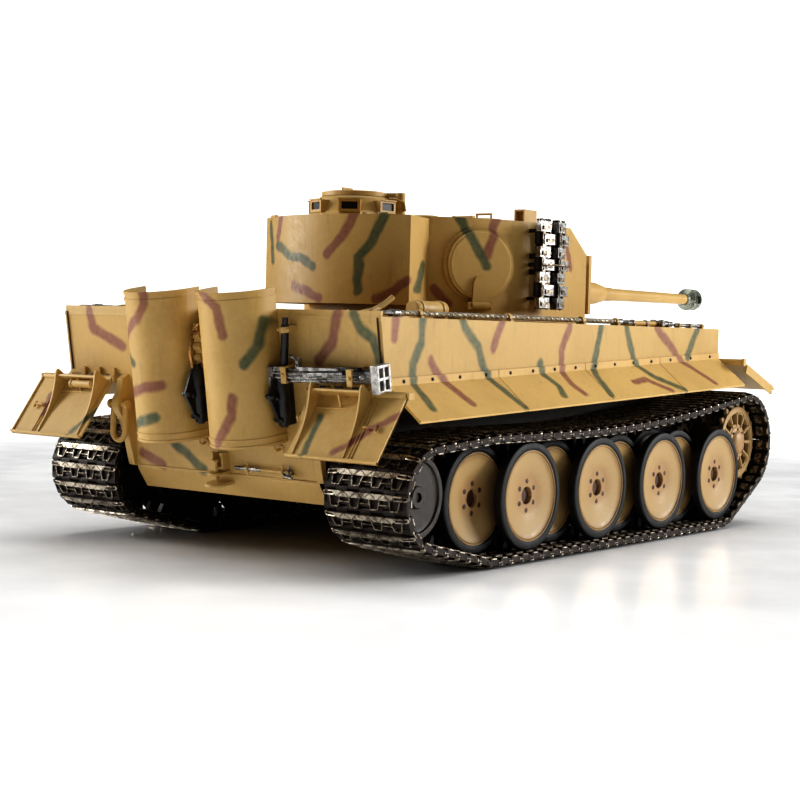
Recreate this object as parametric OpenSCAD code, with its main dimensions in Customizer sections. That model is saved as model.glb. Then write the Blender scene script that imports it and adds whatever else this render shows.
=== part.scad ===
// Radio controlled heavy tank, about one sixteenth scale.
// X points forward along the gun, Y to the left, Z up; the tracks stand on Z = 0.

/* [Running gear] */
// Distance between neighbouring road wheel axles
axle_pitch = 32; // [31:0.5:33]
// Outer radius of a road wheel with its tyre
wheel_r = 25.3; // [24:0.1:26]
// Height of the road wheel centres above the ground
wheel_z = 30.8; // [30:0.1:32]
// Number of links in one track
link_count = 88; // [86:1:90]
// Width of a track link
track_w = 45.3; // [42:0.1:45.5]
// Middle of a track, measured from the hull centre plane
track_mid_y = 88.2; // [87.5:0.1:89]

/* [Hull] */
// Half width of the lower hull tub
tub_half_w = 57.2; // [54:0.1:58]
// Half width of the upper hull over its side plates
side_half_w = 98.1; // [96:0.1:100]
// Height of the deck above the ground
deck_z = 111.7; // [110:0.1:114]
// Half width over the lower edges of the side skirts
skirt_half_w = 115.5; // [112:0.5:118]
// Thickness of the hull plates
plate_t = 2; // [1.6:0.1:2.4]

/* [Turret and gun] */
// Outer radius of the turret wall
turret_r = 67; // [64:0.5:69]
// Height of the turret from its lower edge to its roof
turret_h = 50.1; // [48:0.1:54]
// Distance from the turret axis to the muzzle
gun_reach = 300; // [270:1:325]
// Height of the gun axis above the ground
gun_z = 132; // [130:0.5:134]
// Radius of the barrel at its thin end
barrel_r = 3.3; // [3:0.1:4]

/* [Hidden] */
$fn = 48;

sand = "burlywood";
dark = "dimgray";
steel = "silver";

// Places along X are measured from the rearmost axle and shifted at the end,
// so that the middle of the whole model lies at X = 0.
turret_x = 95;
muzzle_x = turret_x + gun_reach;
plate_foot = [-60.5, 36.8];
plate_lean = 9.1;
shield_r = 17.5;
shield_stand = 6;
shield_top = 88;
band_grow = 0.35;
tail_x = plate_foot[0] - shield_top * sin(plate_lean)
    - (shield_stand + shield_r + band_grow) * cos(plate_lean);
shift_x = -(muzzle_x + tail_x) / 2;

// Fits: a shaft or pin and its bore differ by this much in radius
running = 0.05;
axle_pin_r = 2;
drive_shaft_r = 3;
hinge_pin_r = 0.8;

front_x = 237.7;
nose_x = 283;
wall_t = 2.5;
deck_under = deck_z - plate_t;

// The sponson floors and skirts rise towards the front
fender_rear = [-67.4, 81.6];
fender_rise = 2.35;
function fender_z(x) = fender_rear[1] + (x - fender_rear[0]) * tan(fender_rise);
// Back face of the hull at a height
function back_x(z) = plate_foot[0] - (z - plate_foot[1]) * tan(plate_lean);

// ---- Track path -----------------------------------------------------------
// Height of the pin line over the ground, and thickness from it to the wheel side
pin_z = 3;
link_in = 2.45;
axle_1_x = 7 * axle_pitch;
belt_wheel_r = wheel_z - pin_z;
sprocket_at = [256, 47];
sprocket_pitch_r = 26.1;
idler_at = [-45, 34.3];
idler_pitch_r = 21.4;
belt_top_z = wheel_z + belt_wheel_r;
sag_x = 64;
sag_r = 1150;
// Circles that the pin line runs round, anticlockwise: X, Z and radius.
// A negative radius bends the line the other way, for the sag of the upper run.
belt = [
    [0, wheel_z, belt_wheel_r],
    [axle_1_x, wheel_z, belt_wheel_r],
    [sprocket_at[0], sprocket_at[1], sprocket_pitch_r],
    [sag_x, belt_top_z + sag_r, -sag_r],
    [0, wheel_z, belt_wheel_r],
    [idler_at[0], idler_at[1], idler_pitch_r]];
belt_n = len(belt);
function gap(a, b) = norm([b[0] - a[0], b[1] - a[1]]);
function heading(a, b) = atan2(b[1] - a[1], b[0] - a[0]) + asin((a[2] - b[2]) / gap(a, b));
function turn(a) = a - 360 * round(a / 360);
headings = [for (i = [0:belt_n - 1]) heading(belt[i], belt[(i + 1) % belt_n])];
turns = [for (i = [0:belt_n - 1]) turn(headings[i] - headings[(i + belt_n - 1) % belt_n])];
arcs = [for (i = [0:belt_n - 1]) belt[i][2] * turns[i] * PI / 180];
lines = [for (i = [0:belt_n - 1])
    let (a = belt[i], b = belt[(i + 1) % belt_n]) sqrt(pow(gap(a, b), 2) - pow(a[2] - b[2], 2))];
function total(list, i = 0) = i == len(list) ? 0 : list[i] + total(list, i + 1);
belt_length = total(arcs) + total(lines);
link_pitch = belt_length / link_count;
// Point and heading on the belt at a distance along it: X, Z, angle
function along(s, i = 0) =
    s < arcs[i] ? on_arc(i, s / arcs[i]) :
    s < arcs[i] + lines[i] ? on_line(i, s - arcs[i]) :
    along(s - arcs[i] - lines[i], (i + 1) % belt_n);
function on_arc(i, part) =
    let (angle = headings[(i + belt_n - 1) % belt_n] + part * turns[i])
    [belt[i][0] + belt[i][2] * sin(angle), belt[i][1] - belt[i][2] * cos(angle), angle];
function on_line(i, s) =
    let (angle = headings[i])
    [belt[i][0] + belt[i][2] * sin(angle) + s * cos(angle),
     belt[i][1] - belt[i][2] * cos(angle) + s * sin(angle), angle];

// ---- Wheel rows, measured from the hull centre plane ----------------------
tyre_w = 4.7;
rim_r = 21.4;
// Glued and clipped pieces stand this far apart, so that each stays a piece of its own
seam = 0.02;
row_step = 8.8;
row_1 = 105.55;
row_2 = row_1 - row_step;
row_4 = 2 * track_mid_y - row_1;
row_3 = row_4 + row_step;
horn_mid = 4;
horn_w = 2.8;
horn_h = 5.4;
hub_r = 4.6;
hub_start = 66.5;
arm_start = 58.4;
arm_w = 5.2;

// ---- General helpers ------------------------------------------------------
// A plate outlined in X and Z, from one Y to another
module profile(points, y0, y1) {
    translate([0, y1, 0]) rotate([90, 0, 0]) linear_extrude(y1 - y0) polygon(points);
}
// A cylinder along Y from one Y to another
module bar_y(r, x, z, y0, y1) {
    translate([x, y1, z]) rotate([90, 0, 0]) cylinder(r = r, h = y1 - y0);
}
// A cylinder along X from one X to another
module bar_x(r, y, z, x0, x1) {
    translate([x0, y, z]) rotate([0, 90, 0]) cylinder(r = r, h = x1 - x0);
}
// A box from one corner to the opposite one
module block(a, b) {
    translate(a) cube(b - a);
}
module both_sides() {
    children();
    mirror([0, 1, 0]) children();
}
// Puts a right-hand piece on the side asked for: -1 right, 1 left
module on_side(side) {
    if (side < 0) children();
    else mirror([0, 1, 0]) children();
}
// The leaning back plate: Z runs up the plate from its foot, -X points away from it
module on_back_plate() {
    translate([plate_foot[0], 0, plate_foot[1]]) rotate([0, -plate_lean, 0]) children();
}
// A wheel axle on the right side: Z runs outwards from the hull centre plane
module on_axle(x, z) {
    translate([x, 0, z]) rotate([90, 0, 0]) children();
}
module tube(r, bore, z0, z1) {
    translate([0, 0, z0]) difference() {
        cylinder(r = r, h = z1 - z0);
        translate([0, 0, -1]) cylinder(r = bore, h = z1 - z0 + 2);
    }
}
module shifted() {
    translate([shift_x, 0, 0]) children();
}

// ---- Lower hull -----------------------------------------------------------
// Section of the tub: the back plate stands up to the deck and the side walls reach the sponson floors
rear_low = fender_z(back_x(fender_rear[1]));
tub_outline = [
    [back_x(deck_under), deck_under], plate_foot, [-54.2, 27.8], [243, 27.8], [268, 44],
    [nose_x, 76], [front_x, 87], [front_x, fender_z(front_x)],
    [back_x(rear_low) + wall_t, rear_low + wall_t * tan(fender_rise)],
    [back_x(deck_under) + wall_t, deck_under]];
module lower_hull() {
    shield_hole_z = 76;
    color(sand) difference() {
        union() {
            profile(tub_outline, -tub_half_w, tub_half_w);
            both_sides() {
                // Final drive housings and bosses for the swing arms
                bar_y(13, sprocket_at[0], sprocket_at[1], -66, -tub_half_w + 1);
                for (i = [0:7]) bar_y(4.2, i * axle_pitch + arm_reach, arm_z, -arm_start, -tub_half_w + 1);
                bar_y(5, idler_at[0], idler_at[1], -arm_start, -tub_half_w + 1);
            }
        }
        profile([[back_x(120) + wall_t, 120], [plate_foot[0] + wall_t + 0.6, plate_foot[1] + 1],
            [-52.5, 30.3], [242, 30.3], [265.8, 45.4], [279.4, 74.2], [front_x - wall_t, 84.8],
            [front_x - wall_t, 120]], -tub_half_w + wall_t, tub_half_w - wall_t);
        both_sides() {
            bar_y(drive_shaft_r + running, sprocket_at[0], sprocket_at[1], -80, -40);
            for (i = [0:7]) bar_y(axle_pin_r + running, i * axle_pitch + arm_reach, arm_z, -70, -40);
            bar_y(axle_pin_r + running, idler_at[0], idler_at[1], -70, -40);
            // Ports for the smoke hoses
            translate([-100, -23, shield_hole_z]) rotate([0, 90, 0]) cylinder(r = 2.6, h = 60);
        }
    }
}

// ---- Upper hull -----------------------------------------------------------
ring_bore_r = 55;
module upper_hull() {
    color(sand) difference() {
        union() {
            block([back_x(deck_z), -side_half_w, deck_under], [front_x, side_half_w, deck_z]);
            both_sides() {
                profile([[back_x(deck_z), deck_z], [back_x(rear_low), rear_low],
                    [front_x, fender_z(front_x)], [front_x, deck_z]],
                    -side_half_w, -side_half_w + plate_t);
                // Sponson floor
                profile([[back_x(rear_low), rear_low], [front_x, fender_z(front_x)],
                    [front_x, fender_z(front_x) + plate_t], [back_x(rear_low), rear_low + plate_t]],
                    -side_half_w + 0.5, -tub_half_w);
                // Rear plate of the sponson
                profile([[back_x(deck_z), deck_z], [back_x(rear_low), rear_low],
                    [back_x(rear_low) + plate_t, rear_low], [back_x(deck_z) + plate_t, deck_z]],
                    -side_half_w + 0.5, -tub_half_w);
            }
            // Raised lip along the rear edge of the deck
            block([back_x(deck_z) + 0.3, 0.4 - side_half_w, deck_z - 0.8],
                [back_x(deck_z) + 1.5, side_half_w - 0.4, deck_z + 2.4]);
            // Front plate and the lip over the tub walls
            block([front_x - plate_t, -side_half_w, fender_z(front_x)],
                [front_x, side_half_w, deck_under + 0.5]);
            // Lug bosses that the hatches and grilles screw to
            for (x = [30, 160]) both_sides() block([x, -52, deck_under - 6], [x + 5, -47, deck_under + 0.5]);
        }
        translate([turret_x, 0, 90]) cylinder(r = ring_bore_r + running, h = 40);
        // Louvre openings over the radiators
        both_sides() for (x = [-50, -8]) block([x, -53, 90], [x + 30, -29, 130]);
    }
}

// ---- Engine deck: grilles, hatch and caps ---------------------------------
module grille(l, w, bars) {
    bar_gap = (l - 4) / bars;
    difference() {
        cube([l, w, 1.4]);
        for (i = [0:bars - 1]) translate([2 + i * bar_gap + 0.5, 2, -1]) cube([bar_gap - 1.2, w - 4, 4]);
    }
}
module engine_deck() {
    color(sand) {
        both_sides() translate([-52, -55, deck_z]) grille(34, 28, 12);
        both_sides() translate([-12, -55, deck_z]) grille(22, 28, 8);
        difference() {
            block([-52, -23, deck_z], [5.8, 23, deck_z + 1.2]);
            for (x = [-36, -2]) both_sides() translate([x, -12, deck_z + 0.6]) cylinder(r = 4.4, h = 2);
        }
        for (x = [-36, -2]) both_sides() translate([x, -12, deck_z + 0.6]) cylinder(r = 4.3, h = 2.2);
        for (x = [-44, 4.2]) bar_y(0.9, x, deck_z + 2.1, -20, 20);
        both_sides() translate([-36, -68, deck_z]) cylinder(r = 5, h = 2.4);
        both_sides() translate([8, -68, deck_z]) cylinder(r = 4, h = 1.8);
        both_sides() for (x = [-62, 27]) translate([x, -70, deck_z]) cylinder(r = 1.6, h = 3);
    }
}

// ---- Side skirts ----------------------------------------------------------
skirt_joints = [-67, 15.3, 92.1, 168.5, 237.7];
module on_fender() {
    translate([fender_rear[0], 0, fender_rear[1]]) rotate([0, -fender_rise, 0]) children();
}
module side_skirts() {
    drop = 13.6;
    color(sand) both_sides() on_fender() for (i = [0:3]) {
        x0 = skirt_joints[i] - fender_rear[0] + 0.25;
        x1 = skirt_joints[i + 1] - fender_rear[0] - 0.25;
        translate([x0, 0, 0]) rotate([90, 0, 90]) linear_extrude(x1 - x0) polygon([
            [-side_half_w, 4.2], [-side_half_w - 0.9, 4.2], [-side_half_w - 0.9, 0.9],
            [-skirt_half_w, -drop + 0.5], [-skirt_half_w + 0.5, -drop - 0.5], [-side_half_w, -0.3]]);
    }
}

// ---- Screws and bolts of the hull -----------------------------------------
module dome_bolt(r) {
    intersection() {
        cylinder(r = r, h = r);
        translate([0, 0, -r * 0.7]) sphere(r = r * 1.5);
    }
}
bolts_in_panel = [4, 4, 4, 3];
module hull_screws() {
    color(dark) {
        both_sides() on_fender() for (i = [0:3]) {
            x0 = skirt_joints[i] - fender_rear[0];
            step = (skirt_joints[i + 1] - skirt_joints[i]) / bolts_in_panel[i];
            for (j = [0:bolts_in_panel[i] - 1])
                translate([x0 + (j + 0.5) * step, -side_half_w - 0.9, 2.5]) rotate([90, 0, 0]) dome_bolt(0.8);
        }
    }
}

// ---- Exhausts -------------------------------------------------------------
module shield_outline(grow) {
    difference() {
        union() {
            circle(r = shield_r + grow);
            translate([0, -shield_r - grow]) square([shield_stand - 0.4, 2 * (shield_r + grow)]);
        }
        circle(r = shield_r - 0.8);
        translate([0, -shield_r + 0.8]) square([2 * shield_r, 2 * shield_r - 1.6]);
        translate([shield_stand - 0.4, -2 * shield_r]) square(4 * shield_r);
    }
}
module exhaust_shields() {
    foot = 19;
    color(sand) both_sides() on_back_plate() translate([-shield_stand, -23, 0]) {
        translate([0, 0, foot]) linear_extrude(shield_top - foot) shield_outline(0);
        for (s = [foot, foot + 3, shield_top - 4.5, shield_top - 1.2])
            translate([0, 0, s]) linear_extrude(1.2) shield_outline(band_grow);
        // Straps that hold the shield to the back plate
        for (s = [30, 68]) for (y = [-1, 1])
            block([shield_stand - 0.6, y * (shield_r - 1.6) - 1.6, s],
                [shield_stand, y * (shield_r - 1.6) + 1.6, s + 5]);
    }
}
module exhaust_pipes() {
    color(dark) both_sides() on_back_plate() translate([-9.4, -23, 0]) {
        difference() {
            union() {
                translate([0, 0, 26]) cylinder(r = 8.4, h = 46);
                translate([0, 0, 71]) cylinder(r = 6, h = 12);
                translate([0, 0, 38]) rotate([0, 90, 0]) cylinder(r = 2.4, h = 9.3);
            }
            translate([0, 0, 74]) cylinder(r = 4.8, h = 12);
        }
    }
}

// ---- Fittings of the back -------------------------------------------------
module shackle() {
    rotate([0, -90, 0]) {
        difference() {
            union() {
                cylinder(r = 5.2, h = 3.2, center = true);
                translate([0, -5.2, -1.6]) cube([9, 10.4, 3.2]);
            }
            cylinder(r = 2.9, h = 6, center = true);
            translate([0, -2.9, -3]) cube([12, 5.8, 6]);
        }
        translate([7, 6, 0]) rotate([90, 0, 0]) cylinder(r = 1.4, h = 12);
    }
}
hinge_rear = [-71.6, 79];
module rear_fittings() {
    color(sand) {
        on_back_plate() {
            both_sides() {
                // Towing brackets and their shackles
                block([-5, -61.5, 28], [0, -56.5, 36]);
                translate([-6.5, -59, 27.6]) rotate([0, 180, 0]) shackle();
                // Hooks under the exhaust shields
                for (y = [10, 36]) translate([0, -y, 15]) {
                    block([-4, -1, 0], [0, 1, 1.2]);
                    block([-4, -1, 0], [-3, 1, 4]);
                }
            }
            // Tow coupling
            difference() {
                block([-9, -4.5, -2], [0, 4.5, 7]);
                block([-7.5, -3.2, 0.5], [-1, 3.2, 4.5]);
            }
            translate([-5, 0, 7]) cylinder(r = 1.2, h = 4);
            for (y = [-9, 8]) block([-3.2, y, 1], [0, y + 1.2, 8]);
            // Handle between the shields
            difference() {
                block([-6, -4.2, 36], [0, -1.2, 66]);
                block([-4.4, -5, 38], [-1, 0, 64]);
            }
        }
        both_sides() {
            // Hinge brackets and pins of the rear mudguards
            for (y = [62.2, 113.2])
                profile([[hinge_rear[0] - 1.6, 77.4], [hinge_rear[0] + 5, 77.4],
                    [hinge_rear[0] + 5, 81.6], [hinge_rear[0] - 1.6, 80.6]], -y - 1.2, -y);
        }
    }
    color(steel) {
        both_sides() bar_y(hinge_pin_r, hinge_rear[0], hinge_rear[1], -113.2, -63.4);
        // Starter crank under the plate edge
        on_back_plate() {
            translate([-2.2, -9.5, 5.5]) rotate([90, 0, 0]) cylinder(r = 1, h = 34.5);
            for (y = [14, 36]) block([-3.8, -y - 1.5, 3.9], [0, -y + 1.5, 7.1]);
        }
    }
}
module rear_tools() {
    color(steel) on_back_plate() {
        // Bar in its brackets, with the slotted head at the corner
        for (y = [54, 88]) block([-4.6, -y - 2, 52], [0, -y, 58]);
        translate([-2.8, -51, 55]) rotate([90, 0, 0]) cylinder(r = 1.6, h = 41);
        difference() {
            block([-6.5, -99.6, 46], [-0.6, -92.3, 57.5]);
            for (s = [47.5, 52.6]) block([-8, -98.4, s], [1, -93.6, s + 3.6]);
        }
    }
}
module jack() {
    color(dark) on_back_plate() {
        for (y = [-2.6, 47]) {
            translate([0, -y, 24]) {
                block([-7.5, -2.4, 0], [-1.6, 2.4, 34]);
                translate([-4.5, 0, 34]) cylinder(r = 2, h = 8);
                for (s = [4, 17]) profile([[-7, s], [-10.5, s + 6], [-7, s + 12]], 1, 2.2);
            }
        }
        translate([-4.5, -47, 66]) cylinder(r = 2.6, h = 12);
    }
}

// ---- Deck tools and tow cables --------------------------------------------
module deck_tools() {
    color(sand) {
        // Cylinder with straps
        bar_x(3.6, -80, deck_z + 4.4, -27, -3);
        for (x = [-24, -8]) difference() {
            union() {
                bar_x(4, -80, deck_z + 4.4, x, x + 1.6);
                block([x, -82, deck_z], [x + 1.6, -78, deck_z + 2]);
            }
            bar_x(3.6 + seam, -80, deck_z + 4.4, x - 1, x + 3);
        }
        // Lever in its catch at the rear corner
        translate([-62, -84, deck_z]) {
            block([-3, -2, 0], [3, 2, 2.2]);
            translate([0, 0, 2]) rotate([0, 62, 20]) cylinder(r = 1.3, h = 13);
        }
        // Hammer handle and spade handle along the deck edges
        bar_x(1.2, -90, deck_z + 1.6, 148, 178);
        bar_x(1.2, 85.5, deck_z + 1.4, 120, 182);
    }
    color(steel) {
        block([178.02, -94, deck_z], [183, -86, deck_z + 4]);
        bar_x(1.6, -90, deck_z + 1.8, 183.02, 196);
        profile([[182.2, deck_z], [182.2, deck_z + 2.6], [204, deck_z + 1], [204, deck_z]], 79, 90);
        bar_x(0.9, -91, deck_z + 1.3, 198, 232);
        bar_x(1, 77, deck_z + 1.3, -44, 46);
    }
}
cable_r = 1.3;
cable_y = 92.5;
cable_z = deck_z + 1.9;
eye_r = 3.6;
module cable_eye() {
    rotate_extrude() translate([eye_r, 0]) circle(r = 1.1, $fn = 24);
}
module tow_cables() {
    x0 = -58;
    x1 = 136;
    color(steel) both_sides() {
        bar_x(cable_r, -cable_y, cable_z, x0, x1);
        for (x = [x0 - eye_r - 1, x1 + eye_r + 1]) translate([x, -cable_y, cable_z]) cable_eye();
    }
    color(sand) both_sides() for (x = [-40, 30, 96, 130]) difference() {
        block([x, -cable_y - 2.4, deck_z], [x + 2.2, -cable_y + 2.4, deck_z + 3.9]);
        bar_x(cable_r + seam, -cable_y, cable_z, x - 1, x + 4);
    }
}

// ---- Bow ------------------------------------------------------------------
module hatch_lid(r) {
    difference() {
        cylinder(r = r, h = 1.8);
        translate([0, 0, 1.2]) tube(r - 1.6, r - 2.4, 0, 3);
    }
}
module hull_hatches() {
    color(sand) both_sides() translate([212, -60, deck_z]) {
        hatch_lid(14.5);
        translate([0, -14.5, 0]) block([-4, -2.4, 0], [4, 1.4, 2.2]);
        translate([0, 3, 1.8]) block([-3, -1, 0], [3, 1, 1.6]);
    }
}
module bow_fittings() {
    color(sand) {
        // Headlamp on the front plate
        translate([front_x, 0, deck_z - 7]) {
            bar_x(2, 0, 0, 0, 4);
            translate([3.5, 0, 0]) rotate([0, 90, 0]) difference() {
                cylinder(r = 5.6, h = 7);
                translate([0, 0, 5.6]) cylinder(r = 4.9, h = 3);
            }
        }
        // Vision slot cover of the driver and ball mount of the bow machine gun
        block([front_x, 40, 98], [front_x + 3, 66, 107]);
        bar_x(8.5, -50, 101, front_x, front_x + 2.5);
        both_sides() {
            profile([[nose_x - 4, 52], [nose_x + 2, 52], [nose_x + 2, 64], [nose_x, 68]], -57, -52);
            // Hinge brackets and pins of the front mudguards
            for (y = [60.4, 113])
                block([front_x, -y - 1.2, 91.4], [front_x + 3.2, -y, 95.4]);
        }
    }
    color(dark) {
        bar_x(5.2, -50, 101, front_x + 2.5, front_x + 6);
        bar_x(1.2, -50, 101, front_x + 6, front_x + 15);
    }
    color(steel) both_sides() bar_y(hinge_pin_r, hinge_front[0], hinge_front[1], -113, -61.6);
    color("lightcyan") bar_x(4.85, 0, deck_z - 7, front_x + 9.2, front_x + 10.2);
}

// ---- Mudguards ------------------------------------------------------------
hinge_front = [front_x + 1.8, 93.4];
front_drop = 20;
front_length = 46;
module front_mudguard(side) {
    color(sand) on_side(side) translate([hinge_front[0], 0, hinge_front[1]]) difference() {
        union() {
            bar_y(1.7, 0, 0, -112.6, -62);
            rotate([0, front_drop, 0]) {
                block([1, -112.6, -0.5], [front_length, -62, 0.5]);
                block([5, -113.4, -4.5], [front_length - 4, -112.4, 0.5]);
                for (y = [-100, -76]) profile([[3, 0.4], [front_length - 4, 0.4], [6, 4]], y, y + 0.9);
            }
        }
        bar_y(hinge_pin_r + running, 0, 0, -120, -50);
    }
}
rear_length = 34;
rear_drop = 54;
module rear_mudguard(side) {
    color(sand) on_side(side) translate([hinge_rear[0], 0, hinge_rear[1]]) difference() {
        union() {
            bar_y(1.7, 0, 0, -112.6, -64);
            mirror([1, 0, 0]) rotate([0, rear_drop, 0]) {
                block([1, -113, -0.5], [rear_length, -64, 0.5]);
                // Turned-up lip
                block([rear_length - 1, -113, -0.5], [rear_length, -64, 2.2]);
                // Curved ribs
                for (y = [-104, -78]) difference() {
                    profile([[2, 0.4], [rear_length - 6, 0.4], [5.5, 5.2], [2, 3]], y, y + 0.9);
                    bar_y(20, 28, 19.5, y - 1, y + 2);
                }
                // Latch on the outer edge
                block([10, -114.2, -3.4], [26, -113, 0.5]);
                block([20, -112, 0.4], [26, -106, 1.6]);
            }
        }
        bar_y(hinge_pin_r + running, 0, 0, -120, -50);
    }
}

// ---- Tracks ---------------------------------------------------------------
knuckle_r = 1.35;
plate_half = link_pitch / 2 - knuckle_r - 0.06;
module knuckle(dir, y0, y1) {
    translate([0, y1, 0]) rotate([90, 0, 0]) linear_extrude(y1 - y0) {
        translate([dir * link_pitch / 2, 0]) circle(r = knuckle_r);
        translate([dir > 0 ? plate_half - 0.3 : -link_pitch / 2, -knuckle_r])
            square([link_pitch / 2 - plate_half + 0.3, 2 * knuckle_r]);
    }
}
// One link, lying flat: X along the track, the ground side down, its middle at Y = 0
module track_link() {
    half_w = track_w / 2;
    finger = track_w / 5;
    slack = 0.1;
    profile([[-plate_half, -1.4], [-1.3, -1.4], [-0.8, -pin_z], [0.8, -pin_z], [1.3, -1.4],
        [plate_half, -1.4], [plate_half, link_in], [-plate_half, link_in]], -half_w, half_w);
    for (i = [0:4])
        knuckle(i % 2 == 0 ? 1 : -1, -half_w + i * finger + slack, -half_w + (i + 1) * finger - slack);
    for (y = [-horn_mid, horn_mid])
        profile([[-2.3, link_in - 0.5], [2.3, link_in - 0.5], [1.2, link_in + horn_h],
            [-1.2, link_in + horn_h]], y - horn_w / 2, y + horn_w / 2);
}
module track(side) {
    color(dark) for (i = [0:link_count - 1]) {
        place = along((i + 0.5) * link_pitch);
        translate([place[0], side * track_mid_y, place[1]]) rotate([0, -place[2], 0]) track_link();
    }
}

// ---- Swing arms -----------------------------------------------------------
arm_reach = 12;
arm_z = 37.5;
arm_pin_in = 53.5;
module swing_arms(side) {
    color(dark) on_side(side) {
        for (i = [0:7]) {
            x = i * axle_pitch;
            tip = (i % 2 == 1 ? row_1 : row_2) - 3.5;
            bar_y(axle_pin_r, x + arm_reach, arm_z, -arm_start - 1, -arm_pin_in);
            bar_y(axle_pin_r, x, wheel_z, -tip, -arm_start);
            bar_y(3.6, x + arm_reach, arm_z, -arm_start - arm_w, -arm_start - 0.05);
            bar_y(3.6, x, wheel_z, -arm_start - arm_w, -arm_start - 0.05);
            profile([[x, wheel_z - 2.6], [x + arm_reach, arm_z - 2.6], [x + arm_reach, arm_z + 2.6],
                [x, wheel_z + 2.6]], -arm_start - arm_w, -arm_start - 0.05);
        }
        bar_y(axle_pin_r, idler_at[0], idler_at[1], -row_2 - 1.9, -arm_pin_in);
        bar_y(4, idler_at[0], idler_at[1], -arm_start - arm_w, -arm_start - 0.05);
    }
}

// ---- Wheels ---------------------------------------------------------------
// A dished disc with its rim, lying in XY with the dish open towards +Z
disc_under = 2.3;
module disc(bore) {
    rotate_extrude() polygon([[bore, -disc_under], [9.5, -disc_under], [18, -0.4], [19.6, -disc_under],
        [rim_r, -disc_under], [rim_r, 2.1], [20.7, 2.1], [20.1, 1.5], [9.5, -0.7], [bore, -0.7]]);
}
module tyre() {
    half = tyre_w / 2;
    inner = rim_r + seam;
    rotate_extrude() polygon([[inner, -half + 0.2], [22.8, -half], [24.8, -half], [wheel_r, -half + 0.6],
        [wheel_r, half - 0.6], [24.8, half], [22.8, half], [inner, half - 0.2]]);
}
module bolt_circle(n, r, hole_r, z0, z1) {
    for (i = [0:n - 1]) rotate([0, 0, i * 360 / n])
        translate([r, 0, z0]) cylinder(r = hole_r, h = z1 - z0);
}
module wheelset(outer_row, inner_row) {
    hub_end = outer_row - disc_under - seam;
    color(sand) {
        difference() {
            translate([0, 0, hub_start]) cylinder(r = hub_r, h = hub_end - hub_start);
            translate([0, 0, hub_start - 1]) cylinder(r = axle_pin_r + running, h = hub_end - hub_start);
        }
        // Outer disc with the recess in its middle and the ring of bolt holes
        translate([0, 0, outer_row]) difference() {
            disc(3.8);
            bolt_circle(6, 6.8, 0.85, -1.7, 3);
        }
        translate([0, 0, inner_row]) mirror([0, 0, 1]) disc(hub_r + seam);
    }
    color(dark) for (row = [outer_row, inner_row]) translate([0, 0, row]) tyre();
}
module road_wheel(side, number) {
    x = (8 - number) * axle_pitch;
    on_side(side) on_axle(x, wheel_z) {
        if (number % 2 == 1) wheelset(row_1, row_4);
        else wheelset(row_2, row_3);
    }
}
module idler(side) {
    rim = idler_pitch_r - link_in - 0.05;
    hub_end = row_2 + 3;
    color(sand) on_side(side) on_axle(idler_at[0], idler_at[1]) {
        difference() {
            translate([0, 0, hub_start]) cylinder(r = 5, h = hub_end - hub_start);
            translate([0, 0, hub_start - 1]) cylinder(r = axle_pin_r + running, h = hub_end - hub_start);
        }
        for (row = [row_2, row_3]) translate([0, 0, row]) rotate_extrude() polygon([
            [5 + seam, -1.6], [14, -0.8], [16, -2.2], [rim, -2.2], [rim, 2.2],
            [16, 2.2], [14, 0.8], [5 + seam, 1.6]]);
    }
}
sprocket_hub_r = 8.8;
module toothed_ring() {
    teeth = 19;
    tip_r = sprocket_pitch_r - link_in - 0.15;
    root_r = tip_r - 3;
    difference() {
        union() {
            circle(r = root_r);
            for (i = [0:teeth - 1]) rotate([0, 0, i * 360 / teeth])
                polygon([[root_r - 1, -2], [tip_r, -0.8], [tip_r, 0.8], [root_r - 1, 2]]);
        }
        // Twelve windows leave twelve spokes
        for (i = [0:11]) rotate([0, 0, i * 30]) polygon([[10, -1.6], [17.6, -3.6], [17.6, 3.6], [10, 1.6]]);
        circle(r = sprocket_hub_r + seam);
    }
}
module sprocket(side) {
    // The toothed rings turn between the first and second, and third and fourth, wheel rows
    ring_w = 2.6;
    slot = row_step / 2;
    rings = [row_4 + slot - ring_w / 2, row_1 - slot - ring_w / 2];
    color(sand) on_side(side) on_axle(sprocket_at[0], sprocket_at[1]) {
        for (z = rings) translate([0, 0, z]) linear_extrude(ring_w) toothed_ring();
        hub_from = rings[0] - 4;
        hub_to = rings[1] + ring_w + 0.4;
        translate([0, 0, hub_from]) cylinder(r = sprocket_hub_r, h = hub_to - hub_from);
        translate([0, 0, hub_to]) cylinder(r1 = 7, r2 = 4.2, h = 2.6);
        bolt_circle(8, 7.9, 0.6, hub_to - 0.2, hub_to + 0.5);
        translate([0, 0, 44]) cylinder(r = drive_shaft_r, h = hub_from - seam - 44);
    }
}

// ---- Drive, power and electronics inside the hull -------------------------
module gearboxes() {
    both_sides() {
        color(steel) difference() {
            union() {
                block([232, -54.5, 44], [262, -42, 66]);
                block([206, -54.5, 34], [232.5, -46, 62]);
            }
            bar_y(drive_shaft_r + running, sprocket_at[0], sprocket_at[1], -60, -40);
            for (x = [236, 258]) bar_y(1.2, x, 62.5, -60, -40);
        }
        color("darkslategray") bar_y(12, 219, 47, -46, -12);
        color("goldenrod") bar_y(5, 247, 59, -42, -39);
    }
}
module battery_pack() {
    color("darkblue") {
        for (y = [-11.6, 11.6], x = [-28:46:64]) bar_x(11.4, y, 42, x, x + 45.5);
    }
    color("gold") block([-28.6, -22, 36], [-28.1, 22, 48]);
}
module control_board() {
    color("darkgreen") block([118, -26, 36], [196, 26, 37.6]);
    color("black") {
        block([126, -18, 37.6], [146, 0, 40.6]);
        block([152, 4, 37.6], [164, 20, 43]);
        block([170, -20, 37.6], [188, -8, 46]);
    }
    color(steel) for (x = [122, 192], y = [-22, 22]) translate([x, y, 30.3]) cylinder(r = 1.8, h = 5.7);
}
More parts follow.
